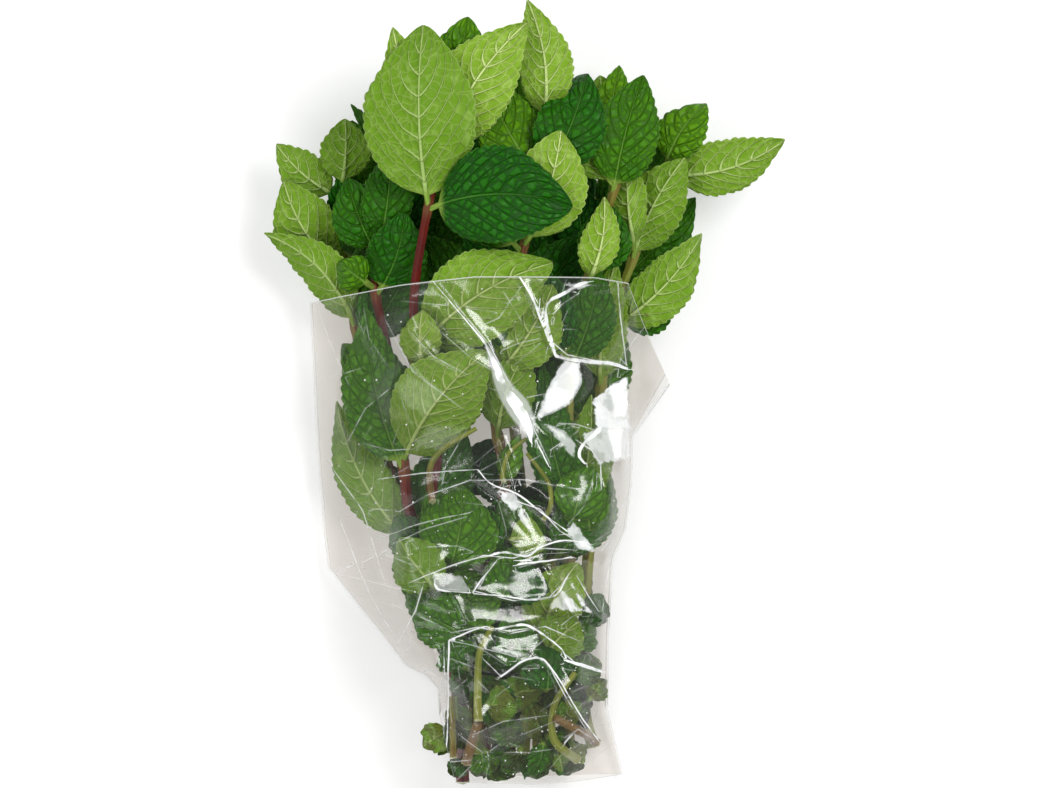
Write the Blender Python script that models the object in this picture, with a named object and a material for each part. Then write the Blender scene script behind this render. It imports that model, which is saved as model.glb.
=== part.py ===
"""A bunch of fresh mint sprigs in an open sleeve of clear film, lying on its back.

Eleven leafy sprigs are laid one on another, from the table up, as a packer lays them. A pile of heights over
the table says where the top of what is laid already is, and each new stem or leaf is lifted just enough to
lie over it, so that no sprig cuts through another. The film sleeve then goes round the pile.
The row frame: +Y runs from the cut ends to the leaf tips, +Z is up, and the origin is on the table, under
the middle of the bunch. The tables are in millimetres.
"""
import math

import bmesh
import bpy
import numpy as np

MM = 0.001

# Leaves and stems
BLADE_THICKNESS = 0.7
PETIOLE_THICKNESS = 1.5
PETIOLE_HALF_WIDTH = 0.85
PETIOLE_LENGTH = 4.0
PETIOLE_MOST = 0.3  # the largest share of a short leaf that its petiole takes
BASE_POWER = 0.52  # how full the blade is towards its base: less is fuller
TIP_POWERS = (0.62, 0.9)  # a broad leaf's and a narrow one's towards its tip
FOLD_DEG = 9.0
RIPPLES = 1.6  # waves of the margin along a leaf
RIPPLE_SHARE = 0.035  # their height, as a share of the leaf's width
RIPPLE_SHIFT = 0.17
GOLDEN = 0.618  # spreads the leaves' phases evenly
TOOTH_PITCH = 6.0
TEETH = (4, 8)  # the fewest and the most on one side
TOOTH_DEPTH = 1.1
TOOTH_RISE = 0.72  # the share of a tooth that its long outer edge takes
MIDRIB_STEPS = 6
STEM_RADIUS = 2.1
STEM_TIP_SHARE = 0.5
STEM_SAMPLES = 241
STEM_STEPS = 17
LEAF_GREEN = (0.09, 0.25, 0.05)
FILM_GREY = (0.85, 0.86, 0.85)

# The pile
CELL = 1.0
HALF_X, HALF_Y = 96, 136
LEAF_GAP = 1.3  # between the middle surfaces of two leaves that lie one on the other
STEM_GAP = 0.7
REACH = 2  # cells round a point that what lies there must clear
PETIOLE_GAP = 2.1
LEAF_CONTROLS = 9  # how many lifts there are along a leaf
FIXED_CONTROLS = 6  # the lifts at a leaf's root, which stay at the stem
STEM_CONTROLS = 24
RELAX_ROUNDS = 40
LEAF_BRIDGES = 3  # rounds that make a piece bridge the valleys under it
STEM_BRIDGES = 3
MESH_SAMPLES = 10  # samples along each edge of a leaf's triangles
ROOT_FREE = 3.0
ROOT_BLEND = 7.0
SHORT_LEAST = 0.3
SPRIG_RANK = 10

# The sleeve of film
FILM = 0.6
FILM_ROOM = 0.5
TABLE_GAP = 0.3
SEAM_INSET = 0.8
FILM_BRIDGES = 3
SEAM_GAP = 0.3  # between the two panels' inner faces beside a seam
SEAM_RISE = (2.0, 9.0)  # how high the seams are held off the table, at the foot and at the mouth
FLAT_SHARE = 0.5  # the share of the back panel's width that lies flat
FILM_SAMPLES = 12
FRONT_COLUMNS = (0.0, 0.03, 0.08, 0.15, 0.25, 0.36, 0.48, 0.6, 0.72, 0.82, 0.9, 0.96, 1.0)
BACK_COLUMNS = (0.97, 0.9, 0.82, 0.72, 0.28, 0.18, 0.1, 0.03)
# Left and right edge of the flattened sleeve, from where its foot has closed up to where its mouth starts to open
SLEEVE_ROWS = (
    ((-27.4, -92.0), (26.4, -98.0)),
    ((-31.5, -87.8), (26.6, -87.0)),
    ((-37.5, -85.2), (26.8, -80.0)),
    ((-43.5, -77.0), (27.0, -72.0)),
    ((-52.0, -66.5), (27.6, -63.0)),
    ((-61.5, -54.4), (28.4, -51.5)),
    ((-62.8, -44.0), (32.4, -42.0)),
    ((-63.9, -30.0), (34.2, -28.0)),
    ((-65.0, -16.0), (34.6, -13.0)),
)
# The rims of the two open ends, as (share of the way across, x, y). The foot's left corner and the mouth's right
# one have slid along the bunch, so a leaf or two comes out beside them
FOOT_RIM = (
    (0.0, -26.4, -97.0),
    (0.07, -23.6, -109.0),
    (0.14, -21.0, -119.6),
    (0.5, 2.0, -120.5),
    (1.0, 31.5, -119.5),
)
MOUTH_RIM = (
    (0.0, -67.1, 28.7),
    (0.28, -38.3, 33.9),
    (0.5, -15.0, 36.4),
    (0.82, 22.0, 36.4),
    (0.9, 32.4, 34.7),
    (0.96, 37.6, 21.7),
    (1.0, 46.0, 3.1),
)
FOOT_STEPS = 4
MOUTH_STEPS = 5

# Each sprig: its stem from the cut end up, as (x, y, least z), then its leaves, as (y of the root on the stem,
# the tip's x and y, its rise over the root, width, arch, bow, roll in degrees, the side that shows, how many
# places later than its neighbours the leaf is laid)
UNDER, UPPER = "under", "upper"
SPRIGS = {
    "sprig_1": (
        ((-7, -117, 4), (-8, -90, 4), (-12, -60, 4.5), (-20, -35, 5), (-32, 0, 6), (-40, 34, 8), (-44, 60, 10),
         (-45, 78, 13)),
        (
            (-99, (-27, -113.5), 0, 10, 1, -1, 0, UPPER, 0),
            (-76, (-30, -54), 1, 18, 1, 2, 0, UPPER, 0),
            (-72, (6, -50), 1, 18, 1, -2, 0, UPPER, 0),
            (-46, (-46, -22), 2, 20, 2, 2, 0, UPPER, 0),
            (-12, (-57, 16), 2, 22, 2, 2, 0, UPPER, 0),
            (-10, (-12, 26), 3, 24, 2, -3, 0, UPPER, 0),
            (28, (-67, 60), 0, 21, 3, 3, -6, UPPER, 0),
            (30, (-18, 66), 3, 25, 3, -3, 6, UPPER, 0),
            (56, (-54, 86), 4, 18, 3, 2, 0, UPPER, 0),
            (58, (-26, 88), 3, 19, 3, -2, 0, UPPER, 0),
            (76, (-54, 91), 3, 8, 1, 0, 62, UPPER, 0),
        ),
    ),
    "sprig_2": (
        ((7, -117, 4), (8, -80, 4), (12, -40, 5), (16, 0, 6), (18, 32, 8), (22, 58, 10), (27, 76, 13)),
        (
            (-52, (26, -22), 1, 18, 2, -2, 0, UPPER, 0),
            (-14, (-2, 22), 2, 22, 2, 2, 0, UPPER, 0),
            (-10, (30, 24), 2, 19, 2, -2, 0, UPPER, 0),
            (26, (-2, 60), 2, 26, 3, 3, 0, UPPER, 0),
            (28, (54, 62), 2, 24, 3, -3, 6, UPPER, 0),
            (54, (2, 90), 3, 24, 3, 3, 0, UPPER, 0),
            (56, (49, 85), 3, 22, 3, -3, 0, UPPER, 0),
            (74, (24, 100), 4, 16, 3, 0, 0, UNDER, 0),
            (76, (30, 103), 5, 14, 3, 1, 10, UPPER, 0),
        ),
    ),
    "sprig_3": (
        ((0, -116, 4), (0, -80, 4), (0, -40, 6), (-4, 0, 8), (-8, 36, 11), (-8, 66, 14), (-6, 86, 17)),
        (
            (-56, (18, -30), 1, 19, 1, -2, 0, UPPER, 0),
            (20, (18, 50), 2, 22, 2, -2, 0, UPPER, 0),
            (24, (-36, 50), 2, 24, 3, 3, 0, UPPER, 0),
            (54, (20, 80), 3, 22, 3, -2, 0, UPPER, 0),
            (56, (-34, 84), 3, 22, 3, 2, 0, UPPER, 0),
            (80, (8, 108), 4, 19, 3, -2, 0, UPPER, 0),
            (82, (-18, 108), 4, 19, 3, 2, 0, UPPER, 0),
        ),
    ),
    "sprig_4": (
        ((-16, -117, 4), (-21, -90, 5), (-27, -66, 6), (-37, -42, 8), (-46, -8, 11), (-52, 18, 13), (-56, 40, 16),
         (-57, 60, 19), (-57, 68, 20)),
        (
            (-46, (-58.5, -2), 1, 18, 3, 4, -14, UNDER, 0),
            (-42, (-18, -12), 2, 20, 2, -2, 0, UPPER, 0),
            (21, (-80.8, 50.4), 4, 16, 4, -5, -24, UNDER, 9),
            (16, (-32, 48), 4, 20, 3, -2, 6, UPPER, 0),
            (38, (-74.6, 66.5), 4, 21, 4, 3, -10, UNDER, 1),
            (40, (-42, 72), 5, 18, 3, -2, 8, UPPER, 1),
            (62, (-77, 78.2), 4, 14, 3, 2, -8, UNDER, 0),
            (64, (-55.6, 86), 6, 16, 3, -1, 6, UNDER, 2),
        ),
    ),
    "sprig_5": (
        ((22, -111, 4), (19, -98, 4), (19, -70, 5), (21, -40, 8), (24, 0, 13), (28, 24, 17), (34, 42, 20),
         (41, 60, 24), (44, 70, 26)),
        (
            (-42, (8, -8), 2, 18, 2, 2, 0, UPPER, 0),
            (-40, (26, -6), 2, 12, 2, 2, 0, UPPER, 0),
            (2, (29, 42), 4, 16, 3, 2, -8, UNDER, 6),
            (21, (55.4, 50.2), 5, 18, 4, -3, -14, UNDER, 4),
            (22, (48, 31), 0, 15, 2, -1, 0, UPPER, 0),
            (42, (50, 73.4), 5, 20, 4, 2, 8, UNDER, 3),
            (44, (32.4, 74), 7, 15, 2, 1, 30, UNDER, 5),
            (69, (81.2, 79.4), 3, 19, 5, -4, 26, UNDER, 0),
            (70, (56.6, 90.4), 5, 15, 3, 2, 6, UPPER, 0),
        ),
    ),
    "sprig_6": (
        ((14, -114, 4), (13, -94, 4), (13, -76, 5), (14, -56, 7), (15, -34, 11), (14, -12, 15), (15, 12, 19),
         (20, 36, 25), (27, 60, 29), (31, 70, 31)),
        (
            (-38, (21, 0), 2, 16, 2, -2, 0, UNDER, 0),
            (-36, (6, 10), 2, 16, 2, 2, 0, UPPER, 0),
            (8, (24, 38), 2, 17, 2, -1, 0, UPPER, 0),
            (10, (0, 44), 2, 20, 2, 2, 0, UPPER, 0),
            (36, (28, 58), 3, 17, 3, -1, 0, UPPER, 0),
            (34, (25, 61), 8, 14, 2, -2, 30, UNDER, 3),
            (62, (37, 98.6), 5, 21, 4, 1, 4, UPPER, 3),
            (64, (17, 92), 4, 18, 3, 2, 0, UNDER, 0),
        ),
    ),
    "sprig_7": (
        ((-12, -115, 5), (-13, -97, 5), (-11, -76, 6), (-8, -51, 14), (-6, -26, 22), (-9, -6, 27), (-8, 14, 30),
         (-1, 42, 33), (5, 64, 36), (6, 84, 38)),
        (
            (-14, (0.6, 13), 2, 18, 2, 2, 0, UNDER, 0),
            (6, (9, 34), 3, 20, 3, -2, 0, UNDER, 0),
            (10, (-14, 44), 3, 17, 3, 2, 0, UPPER, 0),
            (46, (11.5, 81), 4, 24, 4, -2, 0, UNDER, 3),
            (44, (-22, 78), 3, 22, 4, 2, 0, UPPER, 0),
            (67, (19.6, 99), 5, 22, 4, -2, 6, UPPER, 1),
            (66, (-12, 100), 4, 20, 4, 2, 0, UPPER, 0),
            (85, (1.2, 121.7), 9, 17, 4, -3, -10, UNDER, 2),
        ),
    ),
    "sprig_8": (
        ((-3, -117, 6), (-14, -86, 9), (-26, -56, 12), (-35, -38, 15), (-37.4, -22, 18), (-42, 12, 24),
         (-46, 32, 28), (-45, 44, 31), (-44, 50, 32)),
        (
            (-24, (-48.5, 27), 4, 22, 3, 3, -4, UPPER, 0),
            (-21, (-11.3, 13.4), 5, 27, 4, 3, 0, UNDER, 40),
            (31, (-36.6, 56), 5, 19, 3, -2, 6, UPPER, 2),
            (33, (-57.4, 41), 2, 12, 2, 0, 0, UPPER, 3),
            (43, (-54.6, 67), 5, 17, 3, 1, 0, UPPER, 0),
            (46, (-41, 76), 5, 16, 3, -1, 0, UPPER, 0),
        ),
    ),
    "sprig_9": (
        ((-19, -121.4, 5), (-20, -100, 7), (-24, -60, 12), (-28.4, -32, 18), (-27, -18, 24), (-30, 4, 35),
         (-33.4, 20, 41), (-33.4, 34, 43), (-29.6, 56, 43), (-25, 74, 44), (-22, 90, 45)),
        (
            (14, (9, 40.6), 4, 28, 4, 4, 0, UNDER, 0),
            (6, (-31, 26), 2, 13, 2, 1, 0, UNDER, 1),
            (58, (-30.5, 113), 9, 35, 5, 2, 0, UNDER, 30),
            (57, (15, 58), 6, 30, 4, 4, 0, UPPER, 31),
            (75, (1, 114), 7, 24, 4, 3, -6, UNDER, 2),
            (74, (-40, 112.6), 6, 18, 3, 2, 0, UNDER, 1),
            (91, (-17, 116), 7, 18, 4, 0, 0, UPPER, 0),
        ),
    ),
    "sprig_10": (
        ((-14, -112, 9), (-15, -94, 12), (-16, -78, 15), (-14, -62, 18), (-11, -48, 20)),
        (
            (-100, (-19, -82), 1, 12, 1, 0, 0, UPPER, 0),
            (-98, (-2, -90), 1, 15, 1, 1, 0, UPPER, 0),
            (-109, (-3, -119), 0, 12, 1, 0, 0, UPPER, 0),
            (-80, (3, -64), 1, 19, 1, -3, 0, UPPER, 0),
            (-74, (-38, -56), 1, 22, 2, -4, 0, UPPER, 0),
            (-56, (-30, -30), 2, 17, 2, 2, 0, UPPER, 0),
            (-52, (7, -34), 2, 18, 2, 3, 0, UPPER, 0),
        ),
    ),
    "sprig_11": (
        ((5, -112, 9), (6, -96, 12), (6, -80, 18), (8, -64, 24), (9, -50, 28)),
        (
            (-109, (19, -117), 0, 12, 1, 0, 0, UPPER, 0),
            (-104, (-12, -102), 1, 14, 1, 0, 0, UPPER, 0),
            (-102, (22, -88), 1, 15, 1, 0, 0, UPPER, 0),
            (-86, (-10, -76), 1, 16, 1, 0, 0, UPPER, 0),
            (-80, (17, -52), 1, 19, 1, 3, 0, UNDER, 0),
            (-54, (-7, -32), 2, 17, 2, 2, 0, UPPER, 0),
            (-52, (22, -26), 2, 17, 2, -2, 0, UPPER, 0),
        ),
    ),
}


def spline(points, steps):
    """A smooth line through the points: (x, y, z) at each step, by Catmull-Rom."""
    points = np.array(points, float)
    ends = np.vstack([2 * points[0] - points[1], points, 2 * points[-1] - points[-2]])
    place = np.linspace(0, len(points) - 1, steps)
    at = np.minimum(place.astype(int), len(points) - 2)
    f = (place - at)[:, None]
    a, b, c, d = (ends[at + k] for k in range(4))
    return b + f / 2 * (c - a + f * (2 * a - 5 * b + 4 * c - d + f * (3 * (b - c) + d - a)))


def run_basis(s, count):
    """Quadratic B-spline weights of each control along s, from 0 to 1."""
    place = np.clip(s, 0, 1) * (count - 2)
    at = np.minimum(place.astype(int), count - 3)
    f = place - at
    weights = np.zeros((len(s), count))
    rows = np.arange(len(s))
    weights[rows, at] = (1 - f) ** 2 / 2
    weights[rows, at + 1] = 0.5 + f - f * f
    weights[rows, at + 2] = f * f / 2
    return weights


def leaf_basis(s, t):
    """Weights of a leaf's lifts: the left margin, the midrib and the right margin at each control along it."""
    across = np.stack([np.maximum(-t, 0), 1 - abs(t), np.maximum(t, 0)], axis=1)
    return (run_basis(s, LEAF_CONTROLS)[:, :, None] * across[:, None, :]).reshape(len(s), -1)


def triangle_samples(triangles, count, steps):
    """Weights that spread samples over each triangle: a row for each sample, a column for each point."""
    shares = [(i / steps, j / steps, 1 - (i + j) / steps) for i in range(steps + 1) for j in range(steps + 1 - i)]
    shares = np.array(shares)
    weights = np.zeros((len(triangles), len(shares), count))
    for row, corners in enumerate(triangles):
        for k in range(3):
            weights[row, :, corners[k]] += shares[:, k]
    return weights.reshape(-1, count)


def least_lift(weights, need, fixed, level):
    """The lift of each control that keeps every sample at or above its need, without waste.

    No lift is under its level, and a fixed one stays there.
    """
    held = weights > 1e-9
    lift = np.maximum(np.where(held, need[:, None], -np.inf).max(axis=0), level)
    lift[fixed] = level[fixed]
    for _ in range(RELAX_ROUNDS):
        slack = weights @ lift - need
        spare = np.where(held, slack[:, None], np.inf).min(axis=0)
        lift = np.maximum(lift - np.maximum(spare, 0), level)
        lift[fixed] = level[fixed]
    return lift


def bridged(lift, fixed, rounds):
    """Lifts raised, along each axis of their grid, to bridge the valleys between the high ones."""
    for _ in range(rounds):
        for axis in range(lift.ndim):
            if lift.shape[axis] < 3:
                continue
            level = np.moveaxis(lift, axis, 0)
            raised = np.maximum(level[1:-1], (level[:-2] + level[2:]) / 2)
            level[1:-1] = np.where(np.moveaxis(fixed, axis, 0)[1:-1], level[1:-1], raised)
    return lift


def sleeve_point(u, v):
    """Where a point of the flattened sleeve lies: u across from left to right, v from its foot to its mouth."""
    u, v = np.broadcast_arrays(np.asarray(u, float), np.asarray(v, float))
    rows = np.array(SLEEVE_ROWS)
    straight = len(rows) - 1
    place = np.clip(v, 0, 1) * (FOOT_STEPS + straight + MOUTH_STEPS) - FOOT_STEPS
    low = np.clip(place, 0, straight)
    left, right = (np.stack([np.interp(low, range(len(rows)), rows[:, k, c]) for c in (0, 1)]) for k in (0, 1))
    point = left + u * (right - left)
    for rim, share in ((FOOT_RIM, -place / FOOT_STEPS), (MOUTH_RIM, (place - straight) / MOUTH_STEPS)):
        rim = np.array(rim)
        end = np.stack([np.interp(u, rim[:, 0], rim[:, c]) for c in (1, 2)])
        end += (u - np.clip(u, 0, 1)) * (rim[-1, 1:] - rim[0, 1:])[:, None]
        point += np.maximum(share, 0) * (end - point)
    return point.T


def back_height(u, v):
    """How high the underside of the back panel is: flat on the table in the middle, curling up to its seams."""
    edge = np.clip((abs(2 * np.clip(u, 0, 1) - 1) - FLAT_SHARE) / (1 - FLAT_SHARE), 0, 1)
    return edge**2 * (SEAM_RISE[0] + v * (SEAM_RISE[1] - SEAM_RISE[0]))


class Pile:
    """The top of what is laid, over each cell of the table, kept apart for each sprig."""

    def __init__(self, names):
        self.shape = (int(2 * HALF_X / CELL), int(2 * HALF_Y / CELL))
        self.tops = {name: np.zeros(self.shape) for name in names}
        self.tops["table"] = self.table()

    def table(self):
        """The table, with the sleeve's back panel on it."""
        top = np.full(self.shape, TABLE_GAP)
        u, v = (a.ravel() for a in np.meshgrid(np.linspace(-0.03, 1.03, 240), np.linspace(0, 1, 400)))
        np.maximum.at(top, self.cells(sleeve_point(u, v)), back_height(u, v) + FILM + FILM_ROOM)
        return top

    def cells(self, xy):
        at = np.floor((xy + (HALF_X, HALF_Y)) / CELL).astype(int)
        return tuple(np.clip(at, 0, np.array(self.shape) - 1).T)

    def top(self, names, xy):
        """The highest of the named tops within reach of each point."""
        top = np.max([self.tops[name] for name in names], axis=0)
        for axis in (0, 1):
            top = np.max([np.roll(top, k, axis) for k in range(-REACH, REACH + 1)], axis=0)
        return top[self.cells(xy)]

    def others(self, sprig):
        return [name for name in self.tops if name != sprig]

    def lay(self, name, points, above):
        np.maximum.at(self.tops[name], self.cells(points[:, :2]), points[:, 2] + above)


class Stem:
    def __init__(self, name, route):
        self.sprig = name
        self.line = spline(route, STEM_SAMPLES)
        s = np.linspace(0, 1, STEM_SAMPLES)
        self.radius = STEM_RADIUS * (1 - (1 - STEM_TIP_SHARE) * s**1.5)

    def lay_on(self, pile):
        top = pile.top(pile.others(self.sprig), self.line[:, :2])
        need = top + self.radius + STEM_GAP - self.line[:, 2]
        weights = run_basis(np.linspace(0, 1, STEM_SAMPLES), STEM_CONTROLS)
        level = np.zeros(STEM_CONTROLS)
        lift = least_lift(weights, need, level > 0, level)
        self.line[:, 2] += weights @ bridged(lift, level > 0, STEM_BRIDGES)
        for dx in (-1, 0, 1):
            for dy in (-1, 0, 1):
                pile.lay(self.sprig, self.line + (dx * CELL, dy * CELL, 0), self.radius)

    def at_height(self, y):
        """The stem's own point at that y."""
        return np.array([np.interp(y, self.line[:, 1], self.line[:, k]) for k in range(3)])

    def solid(self):
        """The stem as a square bar, its corners up, down and to the sides, closed at both ends."""
        place = np.linspace(0, STEM_SAMPLES - 1, STEM_STEPS).astype(int)
        middle, radius = self.line[place], self.radius[place][:, None]
        along = np.gradient(middle, axis=0)
        along /= np.linalg.norm(along, axis=1)[:, None]
        side = np.cross(along, (0, 0, 1))
        side /= np.linalg.norm(side, axis=1)[:, None]
        up = np.cross(side, along)
        points = np.stack([middle + radius * way for way in (side, up, -side, -up)], axis=1).reshape(-1, 3)
        last = 4 * (STEM_STEPS - 1)
        triangles = [(0, 1, 2), (0, 2, 3), (last, last + 2, last + 1), (last, last + 3, last + 2)]
        for ring in range(STEM_STEPS - 1):
            for k in range(4):
                a, b = 4 * ring + k, 4 * ring + (k + 1) % 4
                triangles += [(a, b + 4, b), (a, a + 4, b + 4)]
        return points, triangles


class Leaf:
    def __init__(self, sprig, number, spec):
        self.sprig, self.number = sprig, number
        self.root_y, self.tip, self.rise, self.width, self.arch, self.bow, self.roll, self.side, self.order = spec
        self.phase = GOLDEN * (self.number + len(SPRIGS) * self.width)
        self.lift = np.zeros(3 * LEAF_CONTROLS)

    def grow_from(self, stem):
        """Sets the leaf's own axes, from its root in the stem to its tip."""
        self.root = stem.at_height(self.root_y)
        self.chord = np.array([*self.tip, self.root[2] + self.rise]) - self.root
        self.length = float(np.linalg.norm(self.chord))
        self.bow_way = np.cross((0, 0, 1), self.chord)
        self.bow_way /= np.linalg.norm(self.bow_way)
        self.arch_way = np.cross(self.chord, self.bow_way) / self.length
        roll = math.radians(self.roll)
        self.across = math.cos(roll) * self.bow_way + math.sin(roll) * self.arch_way
        self.out = math.cos(roll) * self.arch_way - math.sin(roll) * self.bow_way
        self.petiole = min(PETIOLE_MOST, PETIOLE_LENGTH / self.length)

    def half_width(self, s):
        """Half the leaf's width at s, from its root at 0 to its tip at 1."""
        u = np.clip((s - self.petiole) / (1 - self.petiole), 0, 1)
        tip_power = np.clip(1.25 - self.width / self.length, *TIP_POWERS)
        widest = BASE_POWER / (BASE_POWER + tip_power)
        blade = (u / widest) ** BASE_POWER * ((1 - u) / (1 - widest)) ** tip_power * self.width / 2
        return np.maximum(blade, PETIOLE_HALF_WIDTH * (1 - u) ** 2)

    def form(self, s, t, spread):
        """The leaf's middle surface at s along it and t across it, its half width increased by the spread."""
        hump = (4 * s * (1 - s))[:, None]
        middle = self.root + s[:, None] * self.chord + hump * (self.arch * self.arch_way + self.bow * self.bow_way)
        half = (self.half_width(s) + spread) * t
        fold = math.radians(FOLD_DEG if self.side == UPPER else -FOLD_DEG)
        wave = np.sin(2 * math.pi * (RIPPLES * s + self.phase + RIPPLE_SHIFT * np.sign(t)))
        raised = abs(half) * math.sin(fold) + RIPPLE_SHARE * self.width * t**2 * 4 * s * (1 - s) * wave
        points = middle + (half * math.cos(fold))[:, None] * self.across + raised[:, None] * self.out
        points[:, 2] += leaf_basis(s, t) @ self.lift
        return points

    def layout(self):
        """The points of the leaf's mesh, as (s, t, spread), and the triangles of one face."""
        teeth = int(np.clip(round(self.length / TOOTH_PITCH), *TEETH))
        tooth = np.arange(1, 2 * teeth)
        sharp = tooth % 2 == 1
        u = (tooth + np.where(sharp, 2 * TOOTH_RISE - 1, 0)) / (2 * teeth)
        rim_s = np.concatenate([[0, self.petiole], self.petiole + (1 - self.petiole) * u])
        rim_spread = np.concatenate([[0, 0], np.where(sharp, TOOTH_DEPTH / 2, -TOOTH_DEPTH / 2)])
        rib_s = np.concatenate([[0], np.linspace(self.petiole, 1, MIDRIB_STEPS)])
        ribs, rims = len(rib_s), len(rim_s)
        s = np.concatenate([rib_s, rim_s, rim_s])
        t = np.concatenate([np.zeros(ribs), -np.ones(rims), np.ones(rims)])
        spread = np.concatenate([np.zeros(ribs), rim_spread, rim_spread])
        left, right = list(range(ribs, ribs + rims)), list(range(ribs + rims, ribs + 2 * rims))
        rib = list(range(ribs))
        triangles = strip(rib, left + [ribs - 1], s, True) + strip(rib, right + [ribs - 1], s, False)
        loop = left + [ribs - 1] + right[::-1] + [0]
        return (s, t, spread), triangles, loop

    def samples(self):
        """Samples of the mesh's triangles and of the smooth leaf that they stand for, as points and lift weights."""
        (s, t, spread), triangles, _ = self.layout()
        flat = triangle_samples(triangles, len(s), MESH_SAMPLES)
        fine_s, fine_t = (a.ravel() for a in np.meshgrid(np.linspace(0, 1, 61), np.linspace(-1, 1, 37)))
        points = np.vstack([flat @ self.form(s, t, spread), self.form(fine_s, fine_t, TOOTH_DEPTH / 2)])
        weights = np.vstack([flat @ leaf_basis(s, t), leaf_basis(fine_s, fine_t)])
        along = np.concatenate([flat @ s, fine_s])
        return points, weights, along

    def lay_on(self, pile):
        points, weights, along = self.samples()
        others = pile.top(pile.others(self.sprig), points[:, :2])
        own = pile.top([self.sprig], points[:, :2])
        away = np.linalg.norm(points[:, :2] - self.root[:2], axis=1)
        share = np.clip((away - ROOT_FREE) / ROOT_BLEND, 0, 1)
        half = np.where(along < self.petiole, PETIOLE_GAP, LEAF_GAP) / 2
        need = np.maximum(others + half - points[:, 2], share * (own + half - points[:, 2]))
        fixed = np.arange(len(self.lift)) < FIXED_CONTROLS
        lift = least_lift(weights, need, fixed, np.zeros(len(self.lift)))
        self.lift = bridged(lift.reshape(-1, 3), fixed.reshape(-1, 3), LEAF_BRIDGES).ravel()
        points[:, 2] += weights @ self.lift
        short = (others + half - points[:, 2]).max()
        if short > SHORT_LEAST:
            print(f"{self.sprig} leaf {self.number}: {short:.1f} mm short of clear at its root")
        pile.lay(self.sprig, points, half)

    def solid(self):
        """The blade on its petiole, with its toothed margin, alike on both faces."""
        (s, t, spread), triangles, loop = self.layout()
        middle = self.form(s, t, spread)
        corners = np.array(triangles)
        a, b, c = (middle[corners[:, k]] for k in range(3))
        normals = np.zeros_like(middle)
        for k in range(3):
            np.add.at(normals, corners[:, k], np.cross(b - a, c - a))
        normals /= np.linalg.norm(normals, axis=1)[:, None]
        half = np.where(s < self.petiole, PETIOLE_THICKNESS, BLADE_THICKNESS)[:, None] / 2
        points = np.vstack([middle + normals * half, middle - normals * half])
        n = len(middle)
        faces = triangles + [(c + n, b + n, a + n) for a, b, c in triangles]
        for a, b in zip(loop, loop[1:] + loop[:1]):
            faces += [(a, a + n, b + n), (a, b + n, b)]
        return points, faces


def strip(first, second, s, turned):
    """Triangles between two lines of points that run the same way, each closed on whichever point comes next."""
    i, j, triangles = 0, 0, []
    while i < len(first) - 1 or j < len(second) - 1:
        a, b = first[i], second[j]
        step_first = j == len(second) - 1 or (i < len(first) - 1 and s[first[i + 1]] <= s[second[j + 1]])
        if step_first:
            i += 1
            c = first[i]
        else:
            j += 1
            c = second[j]
        if len({a, b, c}) == 3:
            triangles.append((a, b, c) if turned else (b, a, c))
    return triangles


def lay_bunch():
    """Every stem and leaf, laid from the table up. Returns the stems, the leaves and the pile."""
    pile = Pile(SPRIGS)
    stems, leaves, queue = {}, [], []
    for rank, (name, (route, specs)) in enumerate(SPRIGS.items()):
        stems[name] = Stem(name, route)
        queue.append((SPRIG_RANK * rank, stems[name]))
        for number, spec in enumerate(specs, 1):
            leaf = Leaf(name, number, spec)
            leaves.append(leaf)
            queue.append((SPRIG_RANK * rank + 1 + leaf.order, leaf))
    for _, piece in sorted(queue, key=lambda entry: entry[0]):
        if isinstance(piece, Leaf):
            piece.grow_from(stems[piece.sprig])
        piece.lay_on(pile)
    return stems, leaves, pile


def front_heights(pile):
    """How high the front panel's inner face lies at each point of its mesh, just clear of all that it covers."""
    rows, columns = sleeve_rows(), np.array(FRONT_COLUMNS)
    u, v = (a.ravel() for a in np.meshgrid(columns, rows))
    across = len(columns)
    triangles = []
    for row in range(len(rows) - 1):
        for k in range(across - 1):
            a = row * across + k
            triangles += [(a, a + 1, a + across + 1), (a, a + across + 1, a + across)]
    weights = triangle_samples(triangles, len(u), FILM_SAMPLES)
    need = pile.top(pile.tops, weights @ sleeve_point(u, v)) + FILM_ROOM
    seams = (u == columns[0]) | (u == columns[-1])
    level = back_height(u, v) + FILM + SEAM_GAP
    grid = (len(rows), across)
    lift = least_lift(weights, need, seams, level).reshape(grid)
    return bridged(lift, seams.reshape(grid), FILM_BRIDGES)


def sleeve_rows():
    """The share of the sleeve's length at which each row of its mesh lies."""
    return np.linspace(0, 1, FOOT_STEPS + len(SLEEVE_ROWS) + MOUTH_STEPS)


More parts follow.
